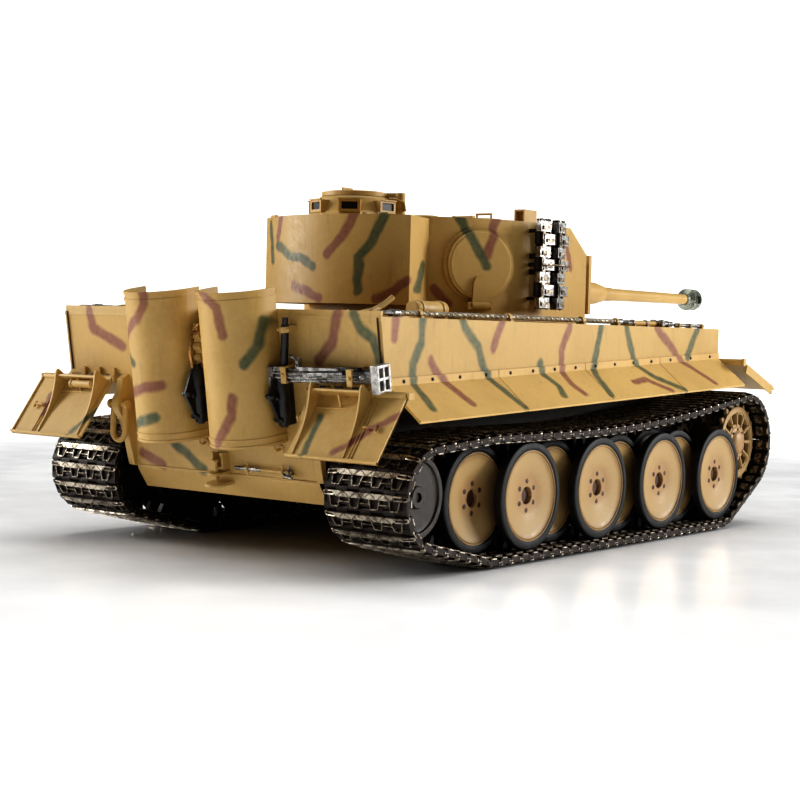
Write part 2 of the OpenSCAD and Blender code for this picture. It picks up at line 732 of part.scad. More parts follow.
module speaker() {
    color("black") translate([150, 0, 84]) difference() {
        union() {
            cylinder(r = 19, h = 6);
            translate([0, 0, -8]) cylinder(r = 9, h = 8.5);
        }
        translate([0, 0, 3]) cylinder(r1 = 9, r2 = 17, h = 3.1);
    }
    color(sand) block([128, -20, 50], [131, 20, 92]);
}
module smoke_unit() {
    color("black") block([-50, -30, 60], [-30, 30, 84]);
    color("white") both_sides() bar_x(2.4, -23, 76, -66, -50);
    color(steel) bar_y(6, -40, 90, -14, 14);
}
module turret_motor() {
    color("black") block([20, -10, 84], [38, 10, 100]);
    color(steel) translate([29, 0, 100]) cylinder(r = 3, h = 8);
    color("white") translate([29, 0, 103]) cylinder(r = 9.5, h = 4);
}

// ---- Turret ---------------------------------------------------------------
turret_base = 112.4;
roof_z = turret_base + turret_h;
side_start = [12.1, 65.9];
side_end = [66, 56];
module turret_plan(inset) {
    circle(r = turret_r - inset, $fn = 96);
    polygon([[0, -turret_r + inset], [side_start[0], -side_start[1] + inset],
        [side_end[0] - inset, -side_end[1] + inset], [side_end[0] - inset, side_end[1] - inset],
        [side_start[0], side_start[1] - inset], [0, turret_r - inset]]);
}
module turret_side_view(inset, floor_z) {
    profile([[-turret_r - 1, floor_z], [side_end[0] + 1 - inset, floor_z],
        [side_end[0] + 1 - inset, roof_z - 13.4 - inset * 1.4], [41 - inset * 0.3, roof_z - inset],
        [-turret_r - 1, roof_z - inset]], -turret_r - 1, turret_r + 1);
}
module at_turret() {
    translate([turret_x, 0, 0]) children();
}
trunnion_x = 47;
window_half_w = 34;
escape_angle = 236.8;
escape_z = 139.5;
escape_r = 17.7;
escape_hinge = [70.6, 119.5];
module at_escape() {
    at_turret() rotate([0, 0, escape_angle]) children();
}
cupola_at = [-27, 31];
loader_at = [3, -29];
module turret_shell() {
    color(sand) difference() {
        union() {
            at_turret() difference() {
                intersection() {
                    translate([0, 0, turret_base]) linear_extrude(turret_h + 1) turret_plan(0);
                    turret_side_view(0, turret_base - 1);
                }
                intersection() {
                    translate([0, 0, turret_base + 2]) linear_extrude(turret_h) turret_plan(3);
                    turret_side_view(2, turret_base - 2);
                }
                // Gun window
                block([50, -window_half_w, gun_z - 13], [80, window_half_w, gun_z + 13]);
            }
            // Turret ring that turns in the deck
            at_turret() translate([0, 0, deck_under - 4])
                cylinder(r = ring_bore_r, h = turret_base - deck_under + 5);
            // Seat of the escape hatch
            at_escape() translate([62, 0, escape_z]) rotate([0, 90, 0]) cylinder(r = escape_r + 0.9, h = 5.6);
            at_escape() for (y = [-6.9, 5.1])
                block([62, y, escape_hinge[1] - 2], [escape_hinge[0] + 1.4, y + 1.8, escape_hinge[1] + 1.6]);
        }
        at_turret() {
            translate([0, 0, 90]) cylinder(r = ring_bore_r - 6, h = turret_base - 90 + 3);
            // Hatch openings in the roof
            translate([cupola_at[0], cupola_at[1], roof_z - 5]) cylinder(r = 15, h = 8);
            translate([loader_at[0], loader_at[1], roof_z - 5]) cylinder(r = 11, h = 8);
        }
        at_escape() translate([55, 0, escape_z]) rotate([0, 90, 0]) cylinder(r = escape_r - 4, h = 20);
        at_escape() bar_y(hinge_pin_r, escape_hinge[0], escape_hinge[1], -10, 10);
    }
}
bin_top = 161.4;
bin_bottom = 118.4;
bin_corner = [-79.9, 46];
bin_root = [-44, 35.3];
bin_far = bin_corner + 0.8 * (bin_corner - bin_root);
bin_back_r = 118;
module bin_plan(inset) {
    back_x = -96.5;
    intersection() {
        polygon([[bin_root[0], -bin_root[1] + inset], [bin_far[0], -bin_far[1] + inset],
            [bin_far[0], bin_far[1] - inset], [bin_root[0], bin_root[1] - inset]]);
        translate([back_x + 72, 0]) circle(r = 72 - inset, $fn = 96);
    }
}
module turret_bin() {
    color(sand) at_turret() {
        difference() {
            translate([0, 0, bin_bottom]) linear_extrude(bin_top - bin_bottom) bin_plan(0);
            translate([0, 0, bin_bottom + 1.2]) linear_extrude(bin_top - bin_bottom - 2.4) bin_plan(1.2);
            translate([0, 0, bin_bottom - 1]) cylinder(r = turret_r + 0.02, h = 60);
        }
        // Hinge knuckles of the lid and the bottom catches
        for (a = [-24, 0, 24]) rotate([0, 0, 180 + a * 0.9])
            translate([95.2 - abs(a) * 0.06, 0, bin_top]) rotate([90, 0, 0])
                cylinder(r = 0.9, h = 5, center = true);
    }
}
module turret_fittings() {
    color(sand) at_turret() {
        // Ventilator dome
        translate([-26, -14, roof_z]) cylinder(r = 8, h = 1.6);
        translate([-26, -14, roof_z + 1.6]) cylinder(r1 = 8, r2 = 6.6, h = 1.2);
        // Periscope guard of the loader
        difference() {
            block([30, -38.5, roof_z], [42, -32, roof_z + 9.8]);
            block([29, -37.6, roof_z + 3.4], [33, -32.9, roof_z + 8.8]);
        }
        // Lifting bosses
        for (p = [[34, 36], [34, -52], [-58, 0]]) translate([p[0], p[1], roof_z]) cylinder(r = 2.2, h = 2.4);
    }
    color(dark) at_turret() block([33, -37.4, roof_z + 3.6], [34, -33.1, roof_z + 8.6]);
}
// Right turret wall: X runs forward along it, -Y points away from it
module on_turret_wall(angle) {
    at_turret() rotate([0, 0, angle]) translate([0, -turret_r, 0]) children();
}
spare_angles = [-6.45, 4.1];
spare_stand = 8.4;
module spare_links() {
    color(steel) for (a = spare_angles) on_turret_wall(a)
        translate([0, -spare_stand, 141.3]) rotate([-90, 0, 0]) track_link();
    // Hooks between the guide horns and at the ends
    color(dark) for (a = spare_angles) on_turret_wall(a) {
        block([-1.2, -spare_stand + link_in + seam, 138.5], [1.2, -seam, 144]);
        for (z = [120, 161]) block([-1, -spare_stand + link_in + seam, z - 1], [1, -seam, z + 1]);
    }
}

// ---- Cupola and hatches ---------------------------------------------------
cupola_h = 13;
// The windows are spread evenly; the hatch turns on a post between two of them
window_n = 7;
window_start = 211.4;
hatch_pivot = 25 * [cos(window_start + 1.5 * 360 / window_n), sin(window_start + 1.5 * 360 / window_n)];
module at_windows() {
    for (i = [0:window_n - 1]) rotate([0, 0, window_start + i * 360 / window_n]) children();
}
module cupola() {
    color(sand) at_turret() translate([cupola_at[0], cupola_at[1], roof_z]) {
        difference() {
            union() {
                rotate_extrude($fn = 96) polygon([
                    [16, 0], [26, 0], [26, 1.6], [22.6, 5], [19.6, 12], [18.6, cupola_h],
                    [16, cupola_h]]);
                at_windows() block([17.5, -5.6, 4.2], [24.4, 5.6, 10.6]);
                translate([hatch_pivot[0], hatch_pivot[1], 0]) cylinder(r = 2.6, h = 7);
            }
            at_windows() block([22.8, -4.2, 5.6], [26, 4.2, 9.4]);
            translate([0, 0, -1]) cylinder(r = 16, h = 20);
        }
        translate([hatch_pivot[0], hatch_pivot[1], 6]) cylinder(r = 1.1, h = 9.4);
    }
    color("black") at_turret() translate([cupola_at[0], cupola_at[1], roof_z])
        at_windows() block([22.8 + seam, -4, 5.8], [23.4, 4, 9.2]);
}
module cupola_hatch() {
    lid_z = roof_z + cupola_h + 0.3;
    color(sand) at_turret() translate([cupola_at[0], cupola_at[1], 0]) difference() {
        union() {
            translate([0, 0, lid_z]) cylinder(r = 18, h = 2.2);
            translate([0, 0, lid_z + 2.2]) cylinder(r1 = 16.6, r2 = 15.6, h = 0.5);
            translate([hatch_pivot[0], hatch_pivot[1], roof_z + 7.2]) cylinder(r = 2.6, h = 8.3);
            rotate([0, 0, atan2(hatch_pivot[1], hatch_pivot[0])])
                block([16, -1.6, lid_z], [24, 1.6, lid_z + 2.2]);
            // Handle
            for (x = [-3.6, 3.6]) translate([x, 6, lid_z + 2]) cylinder(r = 0.6, h = 3);
            translate([-4.2, 6, lid_z + 4.8]) rotate([0, 90, 0]) cylinder(r = 0.6, h = 8.4);
        }
        translate([hatch_pivot[0], hatch_pivot[1], roof_z]) cylinder(r = 1.1 + running, h = 30);
    }
}
loader_hinge = [-15.5, 1.9];
module loader_hatch() {
    color(sand) at_turret() translate([loader_at[0], loader_at[1], roof_z]) difference() {
        union() {
            translate([0, 0, 0.3]) cylinder(r = 13.5, h = 1.9);
            translate([0, 0, 2.1]) cylinder(r1 = 12.4, r2 = 11.6, h = 0.6);
            block([loader_hinge[0], -4.4, 0.9], [-10, 4.4, 2.2]);
            bar_y(1.5, loader_hinge[0], loader_hinge[1], -4.4, 4.4);
            // Handle
            for (y = [-4.5, 4.5]) translate([3, y, 2]) cylinder(r = 0.55, h = 3.6);
            bar_y(0.55, 3, 5.6, -5.05, 5.05);
        }
        bar_y(hinge_pin_r + running, loader_hinge[0], loader_hinge[1], -9, 9);
    }
}
module loader_hinge_lugs() {
    color(sand) at_turret() translate([loader_at[0], loader_at[1], roof_z]) {
        for (y = [-6.4, 4.7]) block([loader_hinge[0] - 1.4, y, 0], [loader_hinge[0] + 1.4, y + 1.7, 3.4]);
        bar_y(hinge_pin_r, loader_hinge[0], loader_hinge[1], -6.4, 6.4);
    }
}
module escape_hatch() {
    lid_x = 67.9;
    color(sand) at_escape() difference() {
        union() {
            translate([lid_x, 0, escape_z]) rotate([0, 90, 0]) cylinder(r = escape_r - 0.6, h = 2);
            translate([lid_x + 1.9, 0, escape_z]) rotate([0, 90, 0])
                cylinder(r1 = escape_r - 1.4, r2 = escape_r - 2, h = 0.5);
            translate([lid_x + 1.8, 0, 0]) rotate([90, 0, 90]) linear_extrude(2) polygon([
                [-4.7, escape_hinge[1]], [4.7, escape_hinge[1]], [4.2, 130],
                [2.8, 133.5], [-2.8, 133.5], [-4.2, 130]]);
            bar_y(1.9, escape_hinge[0], escape_hinge[1], -4.8, 4.8);
        }
        bar_y(hinge_pin_r + running, escape_hinge[0], escape_hinge[1], -9, 9);
    }
}
module escape_hinge_pin() {
    color(steel) at_escape() bar_y(hinge_pin_r, escape_hinge[0], escape_hinge[1], -6.9, 6.9);
}

// ---- Gun ------------------------------------------------------------------
barrel_bore_r = 1.6;
sleeve_r = 4.6;
collar_front = 100;
module mantlet() {
    color(sand) at_turret() difference() {
        union() {
            profile([[70, gun_z - 14.4], [75, gun_z - 14.4], [76.5, gun_z - 12.6], [76.5, gun_z + 12.6],
                [75, gun_z + 14.4], [71, gun_z + 14.4], [69.4, gun_z + 11], [69.4, gun_z - 12]], -50, 50);
            // Inner drum that fills the window
            intersection() {
                bar_y(21, trunnion_x, gun_z, -window_half_w + 0.6, window_half_w - 0.6);
                block([58, -50, gun_z - 9], [69.6, 50, gun_z + 9]);
            }
            bar_x(13, 0, gun_z, 76, 83);
            translate([83, 0, gun_z]) rotate([0, 90, 0]) cylinder(r1 = 10, r2 = 7, h = collar_front - 83);
            // Trunnion arms
            both_sides() block([trunnion_x, -window_half_w + 0.6, gun_z - 4],
                [60, -window_half_w + 4.6, gun_z + 4]);
            both_sides() bar_y(4, trunnion_x, gun_z, -window_half_w + 0.6, -window_half_w + 4.6);
            both_sides() translate([72, -40, gun_z]) cylinder(r = 3, h = 15.4);
        }
        bar_x(sleeve_r + running, 0, gun_z, 40, 120);
        both_sides() bar_y(axle_pin_r + running, trunnion_x, gun_z, -40, -20);
        // Sight and coaxial gun openings
        for (y = [24, 28]) bar_x(1, y, gun_z + 3, 70, 90);
        bar_x(1.1, -22, gun_z + 1, 72, 90);
    }
}
module barrel() {
    step_x = 188;
    color(sand) at_turret() difference() {
        union() {
            bar_x(sleeve_r, 0, gun_z, 34, 106);
            translate([106, 0, gun_z]) rotate([0, 90, 0]) cylinder(r1 = sleeve_r, r2 = 4.2, h = step_x - 106);
            translate([step_x, 0, gun_z]) rotate([0, 90, 0])
                cylinder(r1 = 3.8, r2 = barrel_r, h = gun_reach - 14 - step_x);
        }
        bar_x(barrel_bore_r, 0, gun_z, 120, gun_reach);
    }
}
module muzzle_brake() {
    x0 = gun_reach - 14;
    color(steel) at_turret() difference() {
        translate([x0, 0, gun_z]) rotate([0, 90, 0]) rotate_extrude() polygon([
            [barrel_bore_r, 0], [barrel_r + 0.6, 0], [4.6, 1.5], [7.2, 4], [7.2, 6.4], [5.4, 8], [5.4, 9],
            [6.6, 10.2], [7, 11], [7, 13.2], [6.4, 14], [3, 14], [3, 2.4], [barrel_bore_r, 2.4]]);
        for (x = [4.6, 9.6]) block([x0 + x, -10, gun_z - 2.6], [x0 + x + 2.6, 10, gun_z + 2.6]);
    }
}
module gun_servo() {
    color("black") at_turret() {
        block([-20, -10, turret_base + 4], [16, 10, turret_base + 13]);
        block([4, -30, turret_base + 4], [26, -14, turret_base + 16]);
    }
    // Trunnion blocks with their pins
    color(steel) at_turret() both_sides() {
        block([trunnion_x - 5, -30 + 0.8, turret_base + 3], [trunnion_x + 5, -25, gun_z + 5]);
        bar_y(axle_pin_r, trunnion_x, gun_z, -window_half_w + 1, -28);
    }
}

shifted() lower_hull();
shifted() upper_hull();
shifted() engine_deck();
shifted() side_skirts();
shifted() hull_screws();
shifted() exhaust_shields();
shifted() exhaust_pipes();
shifted() rear_fittings();
shifted() rear_tools();
shifted() jack();
shifted() deck_tools();
shifted() tow_cables();
shifted() bow_fittings();
shifted() hull_hatches();
shifted() front_mudguard(-1);  // front_mudguard_right
shifted() front_mudguard(1);  // front_mudguard_left
shifted() rear_mudguard(-1);  // rear_mudguard_right
shifted() rear_mudguard(1);  // rear_mudguard_left
shifted() track(-1);  // track_right
shifted() track(1);  // track_left
shifted() swing_arms(-1);  // swing_arms_right
shifted() swing_arms(1);  // swing_arms_left
shifted() sprocket(-1);  // sprocket_right
shifted() sprocket(1);  // sprocket_left
shifted() idler(-1);  // idler_right
shifted() idler(1);  // idler_left
shifted() road_wheel(-1, 1);  // wheel_right_1
shifted() road_wheel(-1, 2);  // wheel_right_2
shifted() road_wheel(-1, 3);  // wheel_right_3
shifted() road_wheel(-1, 4);  // wheel_right_4
shifted() road_wheel(-1, 5);  // wheel_right_5
shifted() road_wheel(-1, 6);  // wheel_right_6
shifted() road_wheel(-1, 7);  // wheel_right_7
shifted() road_wheel(-1, 8);  // wheel_right_8
shifted() road_wheel(1, 1);  // wheel_left_1
shifted() road_wheel(1, 2);  // wheel_left_2
shifted() road_wheel(1, 3);  // wheel_left_3
shifted() road_wheel(1, 4);  // wheel_left_4
shifted() road_wheel(1, 5);  // wheel_left_5
shifted() road_wheel(1, 6);  // wheel_left_6
shifted() road_wheel(1, 7);  // wheel_left_7
shifted() road_wheel(1, 8);  // wheel_left_8
shifted() gearboxes();
shifted() battery_pack();
shifted() control_board();
shifted() speaker();
shifted() smoke_unit();
shifted() turret_motor();
shifted() turret_shell();
shifted() turret_bin();
shifted() {
    turret_fittings();
    loader_hinge_lugs();
    escape_hinge_pin();
}
shifted() spare_links();
shifted() cupola();
shifted() cupola_hatch();
shifted() loader_hatch();
shifted() escape_hatch();
shifted() mantlet();
shifted() barrel();
shifted() muzzle_brake();
shifted() gun_servo();
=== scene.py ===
"""Looks for a one sixteenth radio controlled heavy tank, built around its CAD frame.

Lengths are millimetres from the rearmost axle on the hull's centre plane: X forward, Y to the left, Z up.
Every mesh is moved and scaled into the frame's metres when it is finished.
"""
import math

import bmesh
import bpy
from mathutils import Matrix, Vector


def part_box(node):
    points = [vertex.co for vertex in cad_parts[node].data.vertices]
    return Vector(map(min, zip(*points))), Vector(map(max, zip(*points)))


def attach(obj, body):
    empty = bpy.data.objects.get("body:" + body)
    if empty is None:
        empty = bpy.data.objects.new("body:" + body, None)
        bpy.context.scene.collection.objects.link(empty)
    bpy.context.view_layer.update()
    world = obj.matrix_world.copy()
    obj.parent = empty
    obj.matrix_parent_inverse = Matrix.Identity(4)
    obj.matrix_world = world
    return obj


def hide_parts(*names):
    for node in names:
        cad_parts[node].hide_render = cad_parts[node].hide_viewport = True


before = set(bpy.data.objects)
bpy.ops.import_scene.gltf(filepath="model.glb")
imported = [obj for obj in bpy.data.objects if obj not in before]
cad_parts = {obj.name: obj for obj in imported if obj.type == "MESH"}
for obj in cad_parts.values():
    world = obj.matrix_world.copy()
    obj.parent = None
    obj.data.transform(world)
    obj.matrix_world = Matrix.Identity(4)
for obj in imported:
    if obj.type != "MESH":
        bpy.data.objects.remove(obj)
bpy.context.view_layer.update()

MM = 0.001
rear_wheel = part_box("wheel_right_8")
AXLE_X = (rear_wheel[0][0] + rear_wheel[1][0]) / 2
SIDES = ((-1, "right"), (1, "left"))


# ---- Mesh building --------------------------------------------------------
def turned(axis, degrees):
    return Matrix.Rotation(math.radians(degrees), 4, axis)


def moved(x, y, z):
    return Matrix.Translation((x, y, z))


def polar(radius, degrees):
    """The two coordinates of a point on a circle."""
    return radius * math.cos(math.radians(degrees)), radius * math.sin(math.radians(degrees))


NO_MOVE = Matrix.Identity(4)
MIRROR = Matrix.Diagonal((1, -1, 1, 1))
FLIP_Z = Matrix.Diagonal((1, 1, -1, 1))
SWAP_XY = Matrix(((0, 1, 0, 0), (1, 0, 0, 0), (0, 0, 1, 0), (0, 0, 0, 1)))
SHARP_ANGLE = 32
BEVEL_ANGLE = 38
BLOCK_FACES = ((0, 1, 2, 3), (4, 5, 6, 7), (0, 1, 5, 4), (1, 2, 6, 5), (2, 3, 7, 6), (3, 0, 4, 7))


def sided(side):
    """Pieces are drawn on the right, where Y is negative, and mirrored for the left."""
    return MIRROR if side > 0 else NO_MOVE


class Build:
    """Collects solids in one mesh. base and m place them, slot picks the material."""

    def __init__(self, base=NO_MOVE):
        self.bm = bmesh.new()
        self.base = base

    def add(self, verts, faces, slot=0, m=None):
        place = self.base @ m if m else self.base
        made = [self.bm.verts.new(place @ Vector(v)) for v in verts]
        for face in faces:
            f = self.bm.faces.new([made[i] for i in face])
            f.material_index = slot

    def box(self, lo, hi, slot=0, m=None):
        verts = [(x, y, z) for x in (lo[0], hi[0]) for y in (lo[1], hi[1]) for z in (lo[2], hi[2])]
        faces = [(0, 1, 3, 2), (4, 6, 7, 5), (0, 4, 5, 1), (2, 3, 7, 6), (0, 2, 6, 4), (1, 5, 7, 3)]
        self.add(verts, faces, slot, m)

    def block(self, corners, z0, z1, slot=0, m=None):
        """Four corners in X and Y, from z0 to z1."""
        verts = [(x, y, z) for z in (z0, z1) for x, y in corners]
        self.add(verts, BLOCK_FACES, slot, m)

    def prism(self, points, y0, y1, slot=0, m=None):
        """Outline in X and Z, from y0 to y1."""
        n = len(points)
        verts = [(x, y, z) for y in (y0, y1) for x, z in points]
        faces = [tuple(range(n)), tuple(range(2 * n - 1, n - 1, -1))]
        faces += [(i, (i + 1) % n, n + (i + 1) % n, n + i) for i in range(n)]
        self.add(verts, faces, slot, m)

    def lathe(self, profile, n=48, slot=0, m=None, loop=False):
        """Turns a profile of radius and height about Z. loop joins its last point to its first."""
        rings = []
        verts = []
        for r, z in profile:
            if r < 1e-6:
                rings.append([len(verts)] * n)
                verts.append((0, 0, z))
            else:
                rings.append(list(range(len(verts), len(verts) + n)))
                verts += [(*polar(r, 360 * i / n), z) for i in range(n)]
        faces = []
        pairs = list(zip(rings, rings[1:]))
        if loop:
            pairs.append((rings[-1], rings[0]))
        for a, b in pairs:
            for i in range(n):
                j = (i + 1) % n
                face = []
                for k in (a[i], a[j], b[j], b[i]):
                    if k not in face:
                        face.append(k)
                if len(face) > 2:
                    faces.append(tuple(face))
        if not loop:
            for ring in (rings[0], rings[-1]):
                if len(set(ring)) == n:
                    faces.append(tuple(ring))
        self.add(verts, faces, slot, m)

    def ring(self, inner, outer, z0, z1, n, slot=0, m=None):
        self.lathe([(inner, z0), (outer, z0), (outer, z1), (inner, z1)], n, slot, m, True)

    def rod(self, a, b, r, n=12, slot=0, m=None):
        a = Vector(a)
        b = Vector(b)
        place = Matrix.Translation(a) @ (b - a).to_track_quat("Z", "Y").to_matrix().to_4x4()
        self.lathe([(r, 0), (r, (b - a).length)], n, slot, m @ place if m else place)

    def tube(self, path, r, n=8, slot=0, m=None, loop=False):
        """A round bar along a path of points."""
        path = [Vector(p) for p in path]
        count = len(path)
        verts = []
        side = None
        for i, p in enumerate(path):
            before = path[i - 1] if i or loop else path[i]
            after = path[(i + 1) % count] if i < count - 1 or loop else path[i]
            ahead = (after - before).normalized()
            if side is None:
                side = ahead.orthogonal().normalized()
            side = (side - ahead * side.dot(ahead)).normalized()
            other = ahead.cross(side)
            for k in range(n):
                u, v = polar(r, 360 * k / n)
                verts.append(p + side * u + other * v)
        faces = []
        for i in range(count if loop else count - 1):
            j = (i + 1) % count
            for k in range(n):
                q = (k + 1) % n
                faces.append((i * n + k, i * n + q, j * n + q, j * n + k))
        if not loop:
            faces.append(tuple(range(n)))
            faces.append(tuple(range((count - 1) * n, count * n)))
        self.add(verts, faces, slot, m)

    def object(self, name, materials, body, replaced, bevel=0.0, origin=(0, 0, 0)):
        """Makes the Blender object. origin is the object's own zero, for materials that turn about it."""
        bmesh.ops.recalc_face_normals(self.bm, faces=self.bm.faces)
        self.bm.transform(Matrix.Scale(MM, 4) @ moved(-origin[0], -origin[1], -origin[2]))
        mesh = bpy.data.meshes.new(name)
        self.bm.to_mesh(mesh)
        self.bm.free()
        for material in materials:
            mesh.materials.append(material)
        obj = bpy.data.objects.new(name, mesh)
        bpy.context.scene.collection.objects.link(obj)
        obj.location = (AXLE_X + origin[0] * MM, origin[1] * MM, origin[2] * MM)
        if bevel:
            add_bevel(obj, bevel)
        mesh.shade_smooth()
        mesh.set_sharp_from_angle(angle=math.radians(SHARP_ANGLE))
        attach(obj, body)
        if replaced:
            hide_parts(*replaced)


def add_bevel(obj, width):
    """Rounds the edges that are sharper than BEVEL_ANGLE. width is in millimetres."""
    bevel = obj.modifiers.new("edge_rounding", "BEVEL")
    bevel.width = width * MM
    bevel.segments = 2
    bevel.limit_method = "ANGLE"
    bevel.angle_limit = math.radians(BEVEL_ANGLE)
    bevel.use_clamp_overlap = True
    bevel.harden_normals = False


# ---- Shader building ------------------------------------------------------
BUMP_DEPTH = 0.1


class Shader:
    """A material's node tree, built with short calls."""

    def __init__(self, name, tree=None):
        if tree is None:
            self.material = bpy.data.materials.new(name)
            self.material.use_nodes = True
            tree = self.material.node_tree
            tree.nodes.clear()
        self.tree = tree

    def feed(self, node, key, value):
        """Links a socket's value, or sets a constant on the input."""
        if isinstance(value, bpy.types.NodeSocket):
            self.tree.links.new(value, node.inputs[key])
        else:
            node.inputs[key].default_value = value

    def add(self, kind, sockets=(), **settings):
        node = self.tree.nodes.new("ShaderNode" + kind)
        for key, value in settings.items():
            setattr(node, key, value)
        for key, value in dict(sockets).items():
            self.feed(node, key, value)
        return node

    def math(self, operation, a, b=0.0, clamp=False):
        return self.add("Math", {0: a, 1: b}, operation=operation, use_clamp=clamp).outputs[0]

    def times(self, a, b, clamp=False):
        return self.math("MULTIPLY", a, b, clamp)

    def plus(self, a, b, clamp=False):
        return self.math("ADD", a, b, clamp)

    def size(self, a):
        return self.math("ABSOLUTE", a)

    def vector(self, operation, a, b=(0, 0, 0)):
        node = self.add("VectorMath", {0: a, 1: b}, operation=operation)
        return node.outputs["Value" if operation in ("DOT_PRODUCT", "LENGTH") else 0]

    def scaled(self, a, factor):
        return self.add("VectorMath", {0: a, "Scale": factor}, operation="SCALE").outputs[0]

    def split(self, vector):
        return self.add("SeparateXYZ", {0: vector}).outputs[:3]

    def join(self, x, y, z=0.0):
        return self.add("CombineXYZ", {0: x, 1: y, 2: z}).outputs[0]

    def noise(self, vector, scale, detail=3.0, rough=0.55, output="Fac"):
        sockets = {"Vector": vector, "Scale": scale, "Detail": detail, "Roughness": rough}
        return self.add("TexNoise", sockets).outputs[output]

    def span(self, value, low, high, to_low=0.0, to_high=1.0):
        sockets = {0: value, 1: low, 2: high, 3: to_low, 4: to_high}
        return self.add("MapRange", sockets, interpolation_type="SMOOTHSTEP").outputs[0]

    def mix(self, factor, a, b):
        """Blends two colours, each a socket or three numbers."""
        a, b = [(*c, 1) if isinstance(c, tuple) else c for c in (a, b)]
        return self.add("Mix", {0: factor, 6: a, 7: b}, data_type="RGBA").outputs[2]

    def place(self):
        """The point on the object, in millimetres of the object's own space."""
        coords = self.add("TexCoord").outputs
        return self.scaled(coords["Object"], 1 / MM), coords["Normal"]

    def finish(self, colour, rough, metal, height, bump, coat=0.0):
        sockets = {"Base Color": colour, "Roughness": rough, "Metallic": metal}
        if coat:
            sockets.update({"Coat Weight": coat, "Coat Roughness": 0.25})
        bumped = self.add("Bump", {"Strength": bump, "Distance": BUMP_DEPTH * MM, "Height": height})
        sockets["Normal"] = bumped.outputs[0]
        shader = self.add("BsdfPrincipled", sockets)
        self.add("OutputMaterial", {"Surface": shader.outputs[0]})
        return self.material


def stroke_group():
    """How far a point is inside one straight piece of an airbrushed stroke: 1 in its middle, 0 outside."""
    tree = bpy.data.node_groups.new("airbrush_stroke", "ShaderNodeTree")
    for name, kind in (("Point", "NodeSocketVector"), ("Start", "NodeSocketVector"),
            ("Run", "NodeSocketVector"), ("Share", "NodeSocketFloat"), ("Radius", "NodeSocketFloat"),
            ("Soft", "NodeSocketFloat")):
        tree.interface.new_socket(name, in_out="INPUT", socket_type=kind)
    tree.interface.new_socket("Mask", in_out="OUTPUT", socket_type="NodeSocketFloat")
    s = Shader("", tree)
    given = tree.nodes.new("NodeGroupInput").outputs
    away = s.vector("SUBTRACT", given["Point"], given["Start"])
    along = s.times(s.vector("DOT_PRODUCT", away, given["Run"]), given["Share"], clamp=True)
    nearest = s.scaled(given["Run"], along)
    distance = s.vector("LENGTH", s.vector("SUBTRACT", away, nearest))
    inside = s.math("DIVIDE", s.math("SUBTRACT", given["Radius"], distance), given["Soft"])
    mask = s.plus(inside, 0.5, clamp=True)
    tree.links.new(mask, tree.nodes.new("NodeGroupOutput").inputs[0])
    return tree


STROKE = stroke_group()


def stroke_mask(s, point, strokes, radius, soft):
    """The union of polylines given as points in millimetres on an unfolded surface."""
    mask = None
    for points in strokes:
        for a, b in zip(points, points[1:]):
            run = (b[0] - a[0], b[1] - a[1], 0)
            share = 1 / max(run[0] ** 2 + run[1] ** 2, 0.01)
            node = s.add("Group", node_tree=STROKE)
            for key, value in (("Point", point), ("Start", (*a, 0)), ("Run", run), ("Share", share),
                    ("Radius", radius), ("Soft", soft)):
                s.feed(node, key, value)
            mask = node.outputs[0] if mask is None else s.math("MAXIMUM", mask, node.outputs[0])
    return mask


# ---- Paint ----------------------------------------------------------------
SAND = (0.57, 0.375, 0.125)
SAND_SHADE = (0.40, 0.235, 0.060)
BROWN = (0.25, 0.085, 0.055)
GREEN = (0.060, 0.092, 0.045)
AXLE_MM = AXLE_X / MM
SIDE_FOLD_Y = 98.1
LEFT_SHIFT = 23.0


def unfold_side(s, point, normal):
    """X along the hull, and height with the deck and the skirts folded into the side's plane."""
    x, y, z = s.split(s.vector("SUBTRACT", point, (AXLE_MM, 0, 0)))
    width = s.size(y)
    left = s.math("GREATER_THAN", y, 0.0)
    along = s.plus(x, s.times(left, LEFT_SHIFT))
    return s.join(along, s.plus(z, s.math("SUBTRACT", SIDE_FOLD_Y, width)))


def unfold_end(s, point, normal):
    """Across the hull and height, for surfaces that face forward or back."""
    x, y, z = s.split(point)
    return s.join(y, z)


SHIELD_Y = 23.0
SHIELD_R = 17.5


def unfold_shield(s, point, normal):
    """Arc round each shield from its rearmost line, added to the shield's own place across the hull."""
    x, y, z = s.split(point)
    across = s.math("DIVIDE", s.math("SUBTRACT", s.size(y), SHIELD_Y), SHIELD_R + 0.2)
    arc = s.times(s.math("ARCSINE", s.math("MINIMUM", s.math("MAXIMUM", across, -1.0), 1.0)), SHIELD_R)
    sign = s.math("SIGN", y)
    return s.join(s.times(sign, s.plus(arc, SHIELD_Y)), z)


def on_shield(strokes):
    """Strokes given by their distance across the hull, laid on the shield's arc."""
    def laid(y, z):
        across = max(-0.99, min(0.99, (abs(y) - SHIELD_Y) / SHIELD_R))
        return math.copysign(SHIELD_Y + SHIELD_R * math.asin(across), y), z
    return [[laid(*p) for p in points] for points in strokes]


TURRET_X = 95.0
TURRET_R = 67.0
BIN_X = 70.5
BIN_R = 72.0


def unfold_drum(centre, radius):
    """Arc length round an upright drum from the back, and height with the roof folded down."""
    def unfold(s, point, normal):
        x, y, z = s.split(point)
        back = s.math("SUBTRACT", centre + AXLE_MM, x)
        arc = s.times(s.math("ARCTAN2", y, back), radius)
        reach = s.vector("LENGTH", s.join(back, y))
        inward = s.math("MAXIMUM", s.math("SUBTRACT", radius - 1.0, reach), 0.0)
        roof = s.math("GREATER_THAN", s.split(normal)[2], 0.5)
        return s.join(arc, s.plus(z, s.times(inward, roof)))
    return unfold


